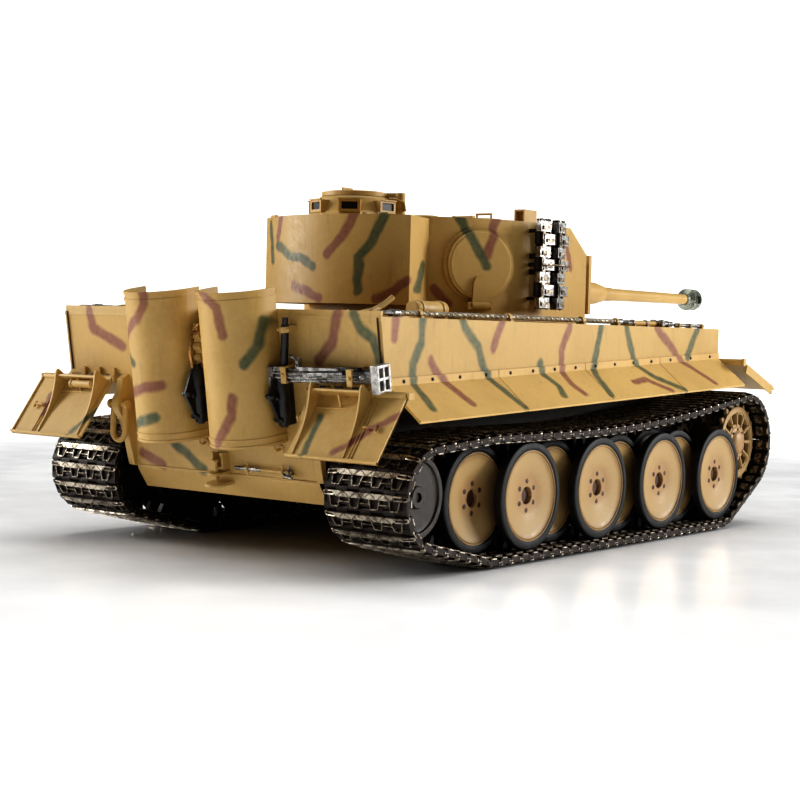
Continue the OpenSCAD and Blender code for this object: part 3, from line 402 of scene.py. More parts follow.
# Strokes on unfolded surfaces, as points of (along, height)
SIDE_BROWN = [[(-62, 122), (-63, 103)], [(-37, 93), (-28, 84), (-21, 63)], [(22, 118), (17, 110), (11, 99)],
    [(80, 130), (77, 110), (70, 99), (70, 89), (69, 75), (72, 65)], [(165, 111), (184, 100), (193, 92),
    (206, 68)], [(126, 74), (140, 75), (154, 63)], [(-10, 150), (8, 170), (30, 176)],
    [(150, 135), (166, 150), (190, 150)], [(-52, 160), (-40, 178)]]
SIDE_GREEN = [[(-43, 112), (-44, 101), (-50, 92), (-50, 83), (-51, 61)],
    [(-18, 124), (-12, 109), (-1, 99), (6, 87), (10, 73), (14, 57)], [(51, 92), (52, 84), (56, 74),
    (53, 65)], [(112, 128), (107, 110), (103, 97), (96, 80), (94, 62)],
    [(129, 122), (133, 110), (142, 93), (150, 77), (168, 63)], [(218, 126), (212, 111), (199, 95)],
    [(40, 128), (52, 150), (44, 168)], [(-60, 134), (-46, 146)], [(190, 172), (206, 156), (226, 160)]]
END_BROWN = [[(81, 112), (79, 103), (60, 95)], [(-75, 113), (-70, 100), (-62, 92)], [(53, 44), (40, 39)]]
END_GREEN = [[(-83, 113), (-86, 107), (-93, 102), (-95, 93)], [(31, 50), (22, 45), (13, 39)]]
SHIELD_BROWN = [[(19, 121), (18, 115), (23, 108), (36, 99)], [(36, 74), (21, 77), (14, 78)],
    [(-18, 121), (-21, 117), (-26, 114), (-28, 102)], [(-30, 75), (-29, 66), (-20, 54)]]
SHIELD_GREEN = [[(37, 92), (29, 88)], [(36, 59), (18, 64)], [(-40, 109), (-39, 98), (-35, 89)]]
GUARD_BROWN = [[(100, 70), (98, 61)], [(-117, 73), (-106, 67), (-88, 55)]]
GUARD_GREEN = [[(72, 54), (63, 64)], [(-72, 69), (-73, 54)]]
BIN_BROWN = [[(27, 160), (30, 151)], [(-22, 162), (-20, 157), (-14, 148), (-8, 142)],
    [(13, 127), (-4, 121)], [(-34, 121), (-42, 124), (-49, 130)]]
BIN_GREEN = [[(30, 147), (24, 145), (16, 141), (9, 141), (1, 136)], [(-38, 164), (-36, 158), (-32, 149),
    (-25, 141), (-25, 125)], [(-59, 138), (-55, 126)], [(40, 158), (36, 140)]]
DRUM_BROWN = [[(-76, 164), (-69, 145)], [(-44, 127), (-51, 120)], [(70, 164), (84, 146), (80, 130)],
    [(120, 160), (112, 140)], [(-136, 162), (-146, 142)], [(-60, 200), (-30, 190)], [(60, 186), (96, 194)]]
DRUM_GREEN = [[(-55, 164), (-62, 151), (-69, 139)], [(52, 128), (62, 144), (58, 162)],
    [(100, 124), (104, 150)], [(150, 164), (140, 148)], [(-120, 130), (-126, 150), (-116, 164)],
    [(0, 182), (34, 200)], [(-100, 190), (-80, 180)]]


END_SHIFT = 1000.0


def band(strokes, low, high):
    """The single runs of the strokes that touch a band of heights on the unfolded surface."""
    runs = []
    for points in strokes:
        for a, b in zip(points, points[1:]):
            if max(a[1], b[1]) >= low and min(a[1], b[1]) <= high:
                runs.append([a, b])
    return runs


def at_end(strokes):
    """Strokes of the surfaces that face forward or back, moved clear of the side's strokes."""
    return [[(y + END_SHIFT, z) for y, z in points] for points in strokes]


def unfold_hull(s, point, normal):
    """The side's unfolding, or the end's where the surface faces forward or back."""
    facing = s.math("GREATER_THAN", s.size(s.split(normal)[0]), 0.6)
    x, y, z = s.split(point)
    end = s.join(s.plus(y, END_SHIFT), z)
    side = unfold_side(s, point, normal)
    return s.add("Mix", {0: facing, 4: side, 5: end}, data_type="VECTOR").outputs[1]


def camouflage(name, unfold=None, brown=(), green=(), radius=2.5, soft=1.8, base=SAND, shade=0.35, painted_side_shade=0.0):
    """Sandy paint with airbrushed strokes, and optional painted shade that darkens the side faces."""
    s = Shader(name)
    point, normal = s.place()
    wander = s.noise(point, 0.09, 2.0, output="Color")
    offset = s.scaled(s.vector("SUBTRACT", wander, (0.5, 0.5, 0.5)), 3.6)
    cloud = s.noise(point, 0.022, 3.0)
    speck = s.noise(point, 0.35, 4.0, 0.65)
    grain = s.noise(point, 2.6, 2.0)
    colour = s.mix(s.span(cloud, 0.42, 0.72, 0.0, shade), base, SAND_SHADE)
    colour = s.mix(s.span(speck, 0.35, 0.75, 0.0, 0.16), colour, (0.74, 0.54, 0.26))
    if unfold:
        flat = s.vector("ADD", unfold(s, point, normal), s.vector("MULTIPLY", offset, (1, 1, 0)))
        thin = s.span(speck, 0.2, 0.8, 0.74, 0.97)
        for strokes, tone in ((brown, BROWN), (green, GREEN)):
            colour = s.mix(s.times(stroke_mask(s, flat, strokes, radius, soft), thin), colour, tone)
    # Grime in faint vertical runs, and small chips down to darker primer
    streak = s.noise(s.vector("MULTIPLY", point, (0.5, 0.5, 0.05)), 0.8, 3.0)
    colour = s.mix(s.span(streak, 0.55, 0.8, 0.0, 0.22), colour, (0.20, 0.12, 0.05))
    chips = s.noise(point, 0.9, 5.0, 0.7)
    chipped = s.span(chips, 0.735, 0.76, 0.0, 0.7)
    colour = s.mix(chipped, colour, (0.10, 0.055, 0.03))
    if painted_side_shade:
        # Painted shade: the faces turned sideways go near black, for the shade on the hull sides between and
        # behind the wheels
        facing = s.math("GREATER_THAN", s.size(s.split(normal)[1]), 0.6)
        colour = s.mix(s.times(facing, painted_side_shade), colour, (0.010, 0.007, 0.004))
    rough = s.span(speck, 0.3, 0.7, 0.40, 0.56)
    height = s.plus(s.times(grain, 0.6), s.times(speck, 0.6))
    return s.finish(colour, rough, 0.0, height, 0.22)


upper_paint = camouflage("upper_paint", unfold_hull, band(SIDE_BROWN, 88, 400) + at_end(END_BROWN),
    band(SIDE_GREEN, 88, 400) + at_end(END_GREEN))
# The lower hull's side faces are darkened almost to black with painted shade
lower_paint = camouflage("lower_paint", unfold_hull, at_end(END_BROWN), at_end(END_GREEN), painted_side_shade=0.97)
# The skirts take a brighter sand than the hull: painted light, a lit copy of the same paint
skirt_lit_paint = camouflage("skirt_lit_paint", unfold_side, band(SIDE_BROWN, 0, 98), band(SIDE_GREEN, 0, 98),
    base=(0.68, 0.45, 0.16))
shield_paint = camouflage("shield_paint", unfold_shield, on_shield(SHIELD_BROWN), on_shield(SHIELD_GREEN),
    radius=2.2, soft=1.5, shade=0.45)
guard_paint = camouflage("guard_paint", unfold_end, GUARD_BROWN, GUARD_GREEN, radius=1.6, soft=1.4)
bin_paint = camouflage("bin_paint", unfold_drum(BIN_X, BIN_R), BIN_BROWN, BIN_GREEN, radius=2.3, soft=1.4,
    shade=0.45)
drum_paint = camouflage("drum_paint", unfold_drum(TURRET_X, TURRET_R), DRUM_BROWN, DRUM_GREEN, radius=2.4,
    soft=1.6, shade=0.5)
plain_paint = camouflage("plain_paint")


def wheel_look(name, inboard_shade, overall_shade=0.0):
    """Sand over brown undercoat, darker towards the middle and in a brown ring by the rim, with painted shade
    on the faces turned to the hull, and painted shade that can darken the whole wheel.
    """
    s = Shader(name)
    point, normal = s.place()
    x, y, z = s.split(point)
    radius = s.vector("LENGTH", s.join(x, z))
    wide = s.noise(point, 0.05, 3.0)
    fine = s.noise(point, 0.5, 4.0, 0.65)
    grain = s.noise(point, 2.4, 2.0)
    colour = s.mix(s.span(fine, 0.3, 0.75, 0.0, 0.3), (0.46, 0.31, 0.135), (0.56, 0.395, 0.19))
    around = s.plus(radius, s.times(wide, 8.0))
    colour = s.mix(s.span(around, 7.0, 20.0, 0.42, 0.0), colour, (0.33, 0.14, 0.05))
    colour = s.mix(s.span(around, 21.5, 25.5, 0.0, 0.5), colour, (0.28, 0.16, 0.07))
    chips = s.noise(point, 0.8, 5.0, 0.7)
    colour = s.mix(s.span(chips, 0.72, 0.75, 0.0, 0.6), colour, (0.12, 0.07, 0.04))
    # Painted shade: near black over the whole wheel by the second amount, and on the faces turned to the hull
    # and everything near it by the first
    colour = s.mix(overall_shade, colour, (0.010, 0.006, 0.004))
    inward = s.times(s.split(normal)[1], s.math("SIGN", y))
    near_hull = s.span(s.size(y), 78.0, 92.0, 1.0, 0.0)
    inboard_shade_mask = s.math("MAXIMUM", s.span(inward, -0.5, 0.0, 1.0, 0.0), near_hull)
    colour = s.mix(s.times(inboard_shade_mask, inboard_shade), colour, (0.020, 0.011, 0.006))
    rings = s.noise(s.join(s.times(radius, 3.0), 0.0, 0.0), 1.0, 2.0)
    rough = s.span(fine, 0.3, 0.7, 0.38, 0.55)
    height = s.plus(s.plus(grain, fine), s.times(rings, 1.2))
    return s.finish(colour, rough, 0.0, height, 0.2)


def metal(name, light, dark, wear, rough, metallic, scale=0.25):
    """Bare or oxidised metal: two tones mixed by worn patches, with scratches."""
    s = Shader(name)
    point, normal = s.place()
    patch = s.noise(point, scale, 5.0, 0.65)
    fine = s.noise(point, scale * 6, 4.0, 0.6)
    scratch = s.noise(s.vector("MULTIPLY", point, (0.25, 3.0, 1.0)), 1.6, 3.0)
    worn = s.span(patch, wear[0], wear[1])
    colour = s.mix(worn, dark, light)
    colour = s.mix(s.span(scratch, 0.62, 0.72, 0.0, 0.35), colour, light)
    roughness = s.plus(s.span(fine, 0.3, 0.7, rough[0], rough[1]), s.times(worn, -0.08))
    height = s.plus(fine, s.times(scratch, 0.5))
    return s.finish(colour, roughness, metallic, height, 0.35)


def plain(name, colour, other, rough, coat=0.0):
    """Rubber, plastic and other quiet surfaces: two near tones, grain and uneven gloss."""
    s = Shader(name)
    point, normal = s.place()
    wide = s.noise(point, 0.3, 4.0, 0.6)
    fine = s.noise(point, 0.3 * 9, 3.0)
    mixed = s.mix(s.span(wide, 0.35, 0.68), colour, other)
    roughness = s.span(fine, 0.3, 0.7, rough - 0.08, rough + 0.08)
    return s.finish(mixed, roughness, 0.0, s.plus(wide, fine), 0.25, coat)


# Painted shade on the faces turned to the hull, and for the idler near black over the whole wheel, standing
# in for the shade under the hull
wheel_paint = wheel_look("wheel_paint", 0.92)
idler_painted_shade = wheel_look("idler_painted_shade", 0.97, 0.97)
sprocket_paint = wheel_look("sprocket_paint", 0.6)
bright_steel = metal("bright_steel", (0.52, 0.46, 0.37), (0.15, 0.12, 0.09), (0.38, 0.58), (0.32, 0.48), 0.85)
edge_steel = metal("edge_steel", (0.40, 0.35, 0.28), (0.08, 0.06, 0.04), (0.42, 0.62), (0.32, 0.5), 0.8, 0.5)
dark_steel = metal("dark_steel", (0.085, 0.058, 0.042), (0.020, 0.013, 0.009), (0.52, 0.78), (0.45, 0.65),
    0.4, 0.3)
cable_steel = metal("cable_steel", (0.50, 0.45, 0.36), (0.26, 0.22, 0.16), (0.35, 0.6), (0.38, 0.55), 0.45,
    0.6)
tool_steel = metal("tool_steel", (0.46, 0.45, 0.43), (0.15, 0.14, 0.13), (0.40, 0.62), (0.30, 0.46), 0.85,
    0.35)
block_steel = metal("block_steel", (0.62, 0.60, 0.57), (0.30, 0.29, 0.27), (0.36, 0.58), (0.34, 0.5), 0.7,
    0.35)
brake_steel = metal("brake_steel", (0.34, 0.36, 0.30), (0.14, 0.15, 0.12), (0.3, 0.6), (0.25, 0.42), 0.6, 0.4)
black_metal = plain("black_metal", (0.008, 0.008, 0.009), (0.020, 0.019, 0.019), 0.34)
tyre_rubber = plain("tyre_rubber", (0.004, 0.004, 0.004), (0.010, 0.009, 0.009), 0.6)
# Dark brown for painted shade in recesses and holes and along shaded edges
recess_shade_brown = plain("recess_shade_brown", (0.09, 0.035, 0.012), (0.05, 0.02, 0.008), 0.5)
bronze = metal("bronze", (0.55, 0.33, 0.13), (0.24, 0.13, 0.05), (0.35, 0.6), (0.3, 0.45), 0.8, 0.4)
dark_glass = plain("dark_glass", (0.006, 0.005, 0.005), (0.020, 0.008, 0.008), 0.42)
soot = plain("soot", (0.05, 0.035, 0.025), (0.12, 0.07, 0.04), 0.6)
board_green = plain("board_green", (0.01, 0.10, 0.03), (0.02, 0.14, 0.05), 0.4)
battery_wrap = plain("battery_wrap", (0.02, 0.04, 0.22), (0.03, 0.06, 0.30), 0.3, coat=0.4)

# ---- Materials of the CAD nodes that stay in sight ------------------------
# Each look with the nodes that carry it, and the width of their rounded edges
CAD_LOOKS = (
    (lower_paint, {"lower_hull": 0.35}),
    (upper_paint, {"upper_hull": 0.3, "engine_deck": 0.15}),
    (skirt_lit_paint, {"side_skirts": 0.2}),
    (shield_paint, {"exhaust_shields": 0.15}),
    (guard_paint, {"front_mudguard_right": 0.2, "front_mudguard_left": 0.2}),
    (bin_paint, {"turret_bin": 0.3}),
    (drum_paint, {"turret_shell": 0.35, "escape_hatch": 0.3}),
    (plain_paint, {"bow_fittings": 0.25, "hull_hatches": 0.25, "turret_fittings": 0.25, "cupola": 0.25,
        "cupola_hatch": 0.25, "loader_hatch": 0.2, "mantlet": 0.5, "barrel": 0.2}),
    (brake_steel, {"muzzle_brake": 0.25}),
    (black_metal, {"hull_screws": 0, "speaker": 0.2, "smoke_unit": 0.3, "turret_motor": 0.2,
        "gun_servo": 0.3}),
    (dark_steel, {"swing_arms_right": 0.3, "swing_arms_left": 0.3}),
    (tool_steel, {"gearboxes": 0.3}),
    (soot, {"exhaust_pipes": 0.3}),
    (battery_wrap, {"battery_pack": 0.2}),
    (board_green, {"control_board": 0.1}))
for look, nodes in CAD_LOOKS:
    for node_name, width in nodes.items():
        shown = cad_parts[node_name]
        if len(shown.material_slots) == 0:
            shown.data.materials.append(look)
        for material_slot in shown.material_slots:
            material_slot.material = look
        if width:
            add_bevel(shown, width)

# ---- Track path, as in the CAD --------------------------------------------
WHEEL_R = 25.3
WHEEL_Z = 30.8
AXLE_PITCH = 32.0
PIN_Z = 3.0
LINK_IN = 2.45
LINK_COUNT = 88
TRACK_MID_Y = 88.2
TRACK_W = 45.3
SPROCKET = (256.0, 47.0)
SPROCKET_R = 26.1
IDLER = (-45.0, 34.3)
IDLER_R = 21.4
BELT_R = WHEEL_Z - PIN_Z
SAG_R = 1150.0
SAG_X = 64.0
# The circles the pins' path wraps: X, Z and radius, which is negative where the upper run sags
BELT = [(0, WHEEL_Z, BELT_R), (7 * AXLE_PITCH, WHEEL_Z, BELT_R), (*SPROCKET, SPROCKET_R),
    (SAG_X, WHEEL_Z + BELT_R + SAG_R, -SAG_R), (0, WHEEL_Z, BELT_R), (*IDLER, IDLER_R)]


def belt_places():
    """Point and heading, X, Z and angle in radians, of every link."""
    count = len(BELT)
    headings = []
    lines = []
    for i in range(count):
        a = BELT[i]
        b = BELT[(i + 1) % count]
        gap = math.hypot(b[0] - a[0], b[1] - a[1])
        headings.append(math.atan2(b[1] - a[1], b[0] - a[0]) + math.asin((a[2] - b[2]) / gap))
        lines.append(math.sqrt(gap ** 2 - (a[2] - b[2]) ** 2))
    turns = []
    for i in range(count):
        turn = headings[i] - headings[i - 1]
        turns.append(turn - 2 * math.pi * round(turn / (2 * math.pi)))
    arcs = [BELT[i][2] * turns[i] for i in range(count)]
    pitch = (sum(arcs) + sum(lines)) / LINK_COUNT
    places = []
    for link in range(LINK_COUNT):
        s = (link + 0.5) * pitch
        i = 0
        while s >= arcs[i] + lines[i]:
            s -= arcs[i] + lines[i]
            i = (i + 1) % count
        if s < arcs[i]:
            angle = headings[i - 1] + s / arcs[i] * turns[i]
            run = 0
        else:
            angle = headings[i]
            run = s - arcs[i]
        x = BELT[i][0] + BELT[i][2] * math.sin(angle) + run * math.cos(angle)
        z = BELT[i][1] - BELT[i][2] * math.cos(angle) + run * math.sin(angle)
        places.append((x, z, angle))
    return places, pitch


PLACES, LINK_PITCH = belt_places()


def track_link(build, m):
    """One cast link. X runs along the track, the ground side is down, its middle is at Y = 0."""
    steel, worn, edge = 0, 1, 2
    half = TRACK_W / 2
    hp = LINK_PITCH / 2
    # Web between the two rows of knuckles, open in the middle of each pocket
    build.box((-hp + 1.45, -half + 0.9, -1.0), (hp - 1.45, half - 0.9, LINK_IN - 0.6), steel, m)
    # Hinge knuckles in turn, each a rounded barrel
    knuckles = 7
    step = TRACK_W / knuckles
    for k in range(knuckles):
        side = 1 if k % 2 == 0 else -1
        y0 = -half + k * step + 0.12
        y1 = -half + (k + 1) * step - 0.12
        outline = [(side * (hp + u), v - 0.1) for u, v in [polar(1.3, a) for a in range(-90, 91, 30)]]
        outline += [(side * (hp - 1.8), 1.2), (side * (hp - 1.8), -1.4)]
        build.prism(outline, y0, y1, steel, m)
    # Pin ends
    for y0, y1 in ((-half - 0.15, -half + 0.4), (half - 0.4, half + 0.15)):
        build.rod((hp, y0, -0.1), (hp, y1, -0.1), 0.55, 8, edge, m)
    # Ground bar: a low base, with the worn pads in a zigzag on top and open loops at both ends
    bar_x = -1.9
    bar_half = 1.25
    pads = 9
    first = -half + 6.2
    width = (TRACK_W - 12.4) / pads
    gap = 0.55
    x0 = bar_x - bar_half
    x1 = bar_x + bar_half
    build.box((x0, -half + 1.6, -2.3), (x1, half - 1.6, -0.9), steel, m)
    for k in range(pads):
        y0 = first + k * width + gap / 2
        y1 = first + (k + 1) * width - gap / 2
        lean = width * 0.42 if k % 2 == 0 else -width * 0.42
        corners = [(x0, y0 - lean), (x0, y1 + lean), (x1, y1 - lean), (x1, y0 + lean)]
        build.block(corners, -PIN_Z, -2.2, worn, m)
    for side in (-1, 1):
        # The loop at the end of the bar is a flat ring, longer than wide, that curls up to the pin
        path = []
        for a in range(0, 360, 30):
            c, across = polar(1, a)
            along = half - 3.6 + (2.7 if c > 0 else -2.2) + 0.75 * c
            curl = max(0.0, along - half + 2.4) * 0.55
            path.append((bar_x + 0.85 * across, side * along, -2.62 + curl))
        build.tube(path, 0.42, 6, worn, m, True)
        # Dark cheek at the end of the web, with a bright worn line on its wheel side
        y = side * (half - 0.45)
        build.box((-hp + 1.5, y - 0.35, -1.4), (hp - 1.5, y + 0.35, LINK_IN - 0.5), steel, m)
        build.box((-1.5, y - 0.42, LINK_IN - 0.95), (1.7, y + 0.42, LINK_IN - 0.45), worn, m)
        build.box((-hp + 0.9, y - 0.38, -0.35), (-1.2, y + 0.38, 0.0), edge, m)
    # Four pockets framed by thin ribs that lean together, joined by short bars
    rib = 0.28
    top = -0.35
    low_x = hp - 0.6
    for centre in (-16.2, -5.4, 5.4, 16.2):
        narrow = 1.9
        wide = 2.9
        for side in (-1, 1):
            a = centre + side * wide
            b = centre + side * narrow
            build.block([(x1, a - rib), (low_x, b - rib), (low_x, b + rib), (x1, a + rib)], -2.1, top, edge,
                m)
        build.box((low_x - rib, centre - narrow, -2.1), (low_x + rib, centre + narrow, top), edge, m)
        if centre < 16:
            mid = (x1 + low_x) / 2
            build.box((mid - rib * 0.8, centre + 2.6, -1.9), (mid + rib * 0.8, centre + 8.2, top), edge, m)
    # Guide horns on the wheel side
    for y in (-4, 4):
        build.prism([(-2.2, LINK_IN - 0.7), (2.2, LINK_IN - 0.7), (1.0, LINK_IN + 5.2),
            (-0.6, LINK_IN + 5.4)], y - 1.3, y + 1.3, steel, m)
    # Raised pads that the tyres run on
    for y in (-17.4, -8.5, 8.5, 17.4):
        build.box((-hp + 1.6, y - 2.0, LINK_IN - 0.7), (hp - 1.6, y + 2.0, LINK_IN), edge, m)


for side, name in SIDES:
    build = Build()
    for x, z, angle in PLACES:
        track_link(build, moved(x, side * TRACK_MID_Y, z) @ Matrix.Rotation(-angle, 4, "Y") @ sided(side))
    build.object("track_links_" + name, [dark_steel, bright_steel, edge_steel], "hull", ["track_" + name])

# ---- Wheels ---------------------------------------------------------------
# Four rows of discs, numbered from the outside in, at these distances from the hull's centre plane
ROW_STEP = 8.8
ROW_1 = 105.55
ROW_2 = ROW_1 - ROW_STEP
ROW_4 = 2 * TRACK_MID_Y - ROW_1
ROW_3 = ROW_4 + ROW_STEP
RIM_R = 21.4
HUB_START = 66.5


def axle_frame(side):
    """Turns Z to point outwards from the hull on one side."""
    return turned("X", 90) if side < 0 else turned("X", -90)


def disc(build, m, hole):
    """Dished wheel face with a step round the hub and a groove inside the rim."""
    face = [(hole, -2.3), (hole, -0.5), (hole + 0.35, -0.3), (8.7, -0.5), (9.2, -0.3), (13.5, 0.35),
        (17.4, 1.05), (19.5, 1.45), (19.9, 1.75), (20.2, 1.75), (20.4, 1.35), (20.65, 1.35), (20.85, 2.1),
        (RIM_R - 0.15, 2.15), (RIM_R, 1.9), (RIM_R, -2.1), (19.6, -2.3), (18, -1.0), (9.5, -2.3)]
    build.lathe(face, 72, m=m, loop=True)


def tyre(build, m):
    """Rubber tyre round the rim, with chamfered shoulders."""
    half = 2.35
    outline = [(RIM_R + 0.02, -half + 0.2), (22.4, -half), (24.2, -half), (24.9, -half + 0.3),
        (WHEEL_R, -half + 0.9), (WHEEL_R, half - 0.9), (24.9, half - 0.3), (24.2, half), (22.4, half),
        (22.0, half - 0.35), (RIM_R + 0.02, half - 0.5)]
    build.lathe(outline, 80, 1, m, True)


def road_wheel(side, name, number):
    """Two discs on one hub: in rows 1 and 4 on odd wheels, 2 and 3 on even ones. Wheel 1 is the front one."""
    x = (8 - number) * AXLE_PITCH
    outer, inner = (ROW_1, ROW_4) if number % 2 else (ROW_2, ROW_3)
    build = Build()
    place = moved(x, 0, WHEEL_Z) @ axle_frame(side)
    # Hub with stepped collars
    build.lathe([(2.05, HUB_START), (4.2, HUB_START), (4.6, HUB_START + 0.5), (4.6, outer - 2.4),
        (2.05, outer - 2.4)], 32, m=place, loop=True)
    at_outer = place @ moved(0, 0, outer)
    disc(build, at_outer, 4.1)
    # Dark recess in the middle, coloured as painted shade, with a rounded cap low inside it
    build.lathe([(0, -1.9), (1.6, -1.95), (3.2, -2.1), (4.08, -2.2), (4.08, -2.38), (0, -2.38)], 32, 2,
        at_outer)
    # Six small bolts in the painted-shade brown, standing in for the dark holes round the hub
    for k in range(6):
        bolt = at_outer @ moved(*polar(6.8, 60 * k + 90), -0.36)
        build.lathe([(0, 0.14), (0.6, 0.12), (0.75, 0.04), (1.2, 0.06), (1.3, -0.3)], 14, 2, bolt)
    at_inner = place @ moved(0, 0, inner) @ FLIP_Z
    disc(build, at_inner, 4.62)
    for m in (at_outer, at_inner):
        tyre(build, m)
    node = "wheel_%s_%d" % (name, number)
    build.object("wheelset_%s_%d" % (name, number), [wheel_paint, tyre_rubber, recess_shade_brown], node, [node],
        origin=(x, 0, WHEEL_Z), bevel=0.12)


for side, name in SIDES:
    for number in range(1, 9):
        road_wheel(side, name, number)


def sprocket_ring(build, m):
    """Toothed ring with spokes, cut as a polar grid and given thickness."""
    spokes = 12
    teeth = 19
    rings = [8.82, 10.6, 12.4, 14.6, 16.8, 18.4, 20.4]
    cells = 8
    thick = 1.3
    n = spokes * cells
    solid = {}
    for j in range(len(rings) - 1):
        for i in range(n):
            solid[(j, i)] = not (1 <= j <= 3 and 1 <= i % cells <= cells - 2)
    verts = []
    index = {}
    for z in (-thick, thick):
        for j, r in enumerate(rings):
            for i in range(n):
                index[(z > 0, j, i)] = len(verts)
                verts.append((*polar(r, 360 * i / n), z))
    faces = []
    for (j, i), keep in solid.items():
        if not keep:
            continue
        k = (i + 1) % n
        for up in (False, True):
            faces.append((index[(up, j, i)], index[(up, j, k)], index[(up, j + 1, k)], index[(up, j + 1, i)]))
        for (dj, di), (p, q) in {(-1, 0): ((j, i), (j, k)), (1, 0): ((j + 1, i), (j + 1, k)),
                (0, -1): ((j, i), (j + 1, i)), (0, 1): ((j, k), (j + 1, k))}.items():
            near = (j + dj, (i + di) % n)
            if not solid.get(near, False):
                faces.append((index[(False, *p)], index[(False, *q)], index[(True, *q)], index[(True, *p)]))
    build.add(verts, faces, m=m)
    # Raised rim flange, ribs on the spokes, teeth
    build.ring(17.6, 20.6, thick - 0.1, thick + 0.5, 72, m=m)
    for k in range(spokes):
        turn = m @ turned("Z", k * 360 / spokes)
        build.box((9.6, -0.55, thick - 0.1), (17.8, 0.55, thick + 0.5), m=turn)
    for k in range(teeth):
        turn = m @ turned("Z", (k + 0.5) * 360 / teeth)
        tooth = [(r, y, way * (thick - slope)) for way in (-1, 1) for r, y,
            slope in ((20.0, -1.9, 0.2), (23.4, -0.7, 0.4), (23.4, 0.7, 0.4), (20.0, 1.9, 0.2))]
        build.add(tooth, BLOCK_FACES, 0, turn)


for side, name in SIDES:
    build = Build()
    place = moved(SPROCKET[0], 0, SPROCKET[1]) @ axle_frame(side)
    inner_ring = ROW_4 + ROW_STEP / 2
    outer_ring = ROW_1 - ROW_STEP / 2
    for z, flip in ((inner_ring, FLIP_Z), (outer_ring, NO_MOVE)):
        sprocket_ring(build, place @ moved(0, 0, z) @ flip)
    build.lathe([(0, inner_ring - 5.3), (8.4, inner_ring - 5.3), (8.8, inner_ring - 4.9),
        (8.8, outer_ring + 1.5), (8.2, outer_ring + 1.9), (7.0, outer_ring + 2.0), (6.2, outer_ring + 3.1),
        (4.6, outer_ring + 4.0), (2.0, outer_ring + 4.4), (0, outer_ring + 4.4)], m=place)
    build.lathe([(0, 44), (3, 44), (3, inner_ring - 5.3), (0, inner_ring - 5.3)], 24, 1, place)
    # Eight bolts round the hub in the painted-shade brown
    for k in range(8):
        bolt = place @ moved(*polar(7.6, 45 * k), outer_ring + 1.8)
        build.lathe([(0, 0.8), (0.5, 0.75), (0.75, 0.4), (0.75, 0)], 8, 2, bolt)
    build.object("sprocket_wheel_" + name, [sprocket_paint, tool_steel, recess_shade_brown], "sprocket_" + name,
        ["sprocket_" + name], origin=(SPROCKET[0], 0, SPROCKET[1]), bevel=0.15)
    build = Build()
    place = moved(IDLER[0], 0, IDLER[1]) @ axle_frame(side)
    rim = IDLER_R - LINK_IN - 0.05
    build.lathe([(2.05, HUB_START), (4.6, HUB_START), (5, HUB_START + 0.5), (5, ROW_2 + 2.6),
        (4.4, ROW_2 + 3), (2.05, ROW_2 + 3)], 32, m=place, loop=True)
    for z in (ROW_2, ROW_3):
        half = [(5.02, -1.6), (13.6, -0.9), (15.6, -1.3), (16.2, -2.2), (rim - 0.3, -2.2), (rim, -1.8)]
        outline = half + [(r, -height) for r, height in reversed(half)]
        build.lathe(outline, 72, m=place @ moved(0, 0, z), loop=True)
    build.object("idler_wheel_" + name, [idler_painted_shade], "idler_" + name, ["idler_" + name],
        origin=(IDLER[0], 0, IDLER[1]), bevel=0.15)

# ---- Tow cables: stranded wire rope with spliced eyes ---------------------
DECK_Z = 111.7
CABLE_Y = 92.5
CABLE_Z = DECK_Z + 1.9
CABLE_X = (-58.0, 136.0)
CABLE_R = 1.3
STRAND_R = CABLE_R * 0.44
STRANDS = 3
LAY = 3.6
TURN_STEPS = 14

for side, name in SIDES:
    build = Build()
    y = side * CABLE_Y
    length = CABLE_X[1] - CABLE_X[0]
    steps = int(length / LAY * TURN_STEPS)
    for k in range(STRANDS):
        path = []
        for i in range(steps + 1):
            along = length * i / steps
            u, v = polar(CABLE_R - STRAND_R, 360 * (along / LAY + k / STRANDS))
            path.append((CABLE_X[0] + along, y + u, CABLE_Z + v))
        build.tube(path, STRAND_R, 5)
    build.rod((CABLE_X[0] + 0.5, y, CABLE_Z), (CABLE_X[1] - 0.5, y, CABLE_Z), 0.75, 8)
    for x in (CABLE_X[0] - 4.6, CABLE_X[1] + 4.6):
        eye = [(x + polar(3.6, a)[0], y + polar(3.3, a)[1], CABLE_Z) for a in range(0, 360, 15)]
        build.tube(eye, 1.05, slot=1, loop=True)
        toward = 1 if x < 0 else -1
        build.rod((x + toward * 3.4, y, CABLE_Z), (x + toward * 9.0, y, CABLE_Z), 1.65, slot=1)
    for x in (-40, 30, 96, 130):
        build.box((x, y - 2.4, DECK_Z), (x + 2.2, y + 2.4, DECK_Z + 1.0), 2)
        arch = [polar(1.9, a) for a in range(-20, 201, 20)] + [polar(1.32, a) for a in range(200, -21, -20)]
        build.prism([(y + u, CABLE_Z + v) for u, v in arch], x, x + 2.2, 2, SWAP_XY)
    build.object("tow_cable_" + name, [cable_steel, tool_steel, plain_paint], "hull",
        ["tow_cables"] if side < 0 else ())

# ---- The back of the hull, drawn on the leaning rear plate ----------------
FOOT = (-60.5, 36.8)
LEAN = 9.1
ON_PLATE = moved(FOOT[0], 0, FOOT[1]) @ turned("Y", -LEAN)


OUT = turned("Y", -90)


def shackle(build, m):
    """A U-shaped bow hanging from its pin."""
    bow = [(0, u, v - 13) for u, v in [polar(4.1, a) for a in range(180, 361, 20)]]
    build.tube([(0, -3.6, 0), (0, -4.1, -5), *bow, (0, 4.1, -5), (0, 3.6, 0)], 1.45, 10, m=m)
    for y0, y1, r, n in ((-5.6, 5.6, 1.5, 12), (-6.4, -5.4, 2.3, 12), (4.6, 5.8, 2.2, 6)):
        build.rod((0, y0, 0), (0, y1, 0), r, n, m=m)


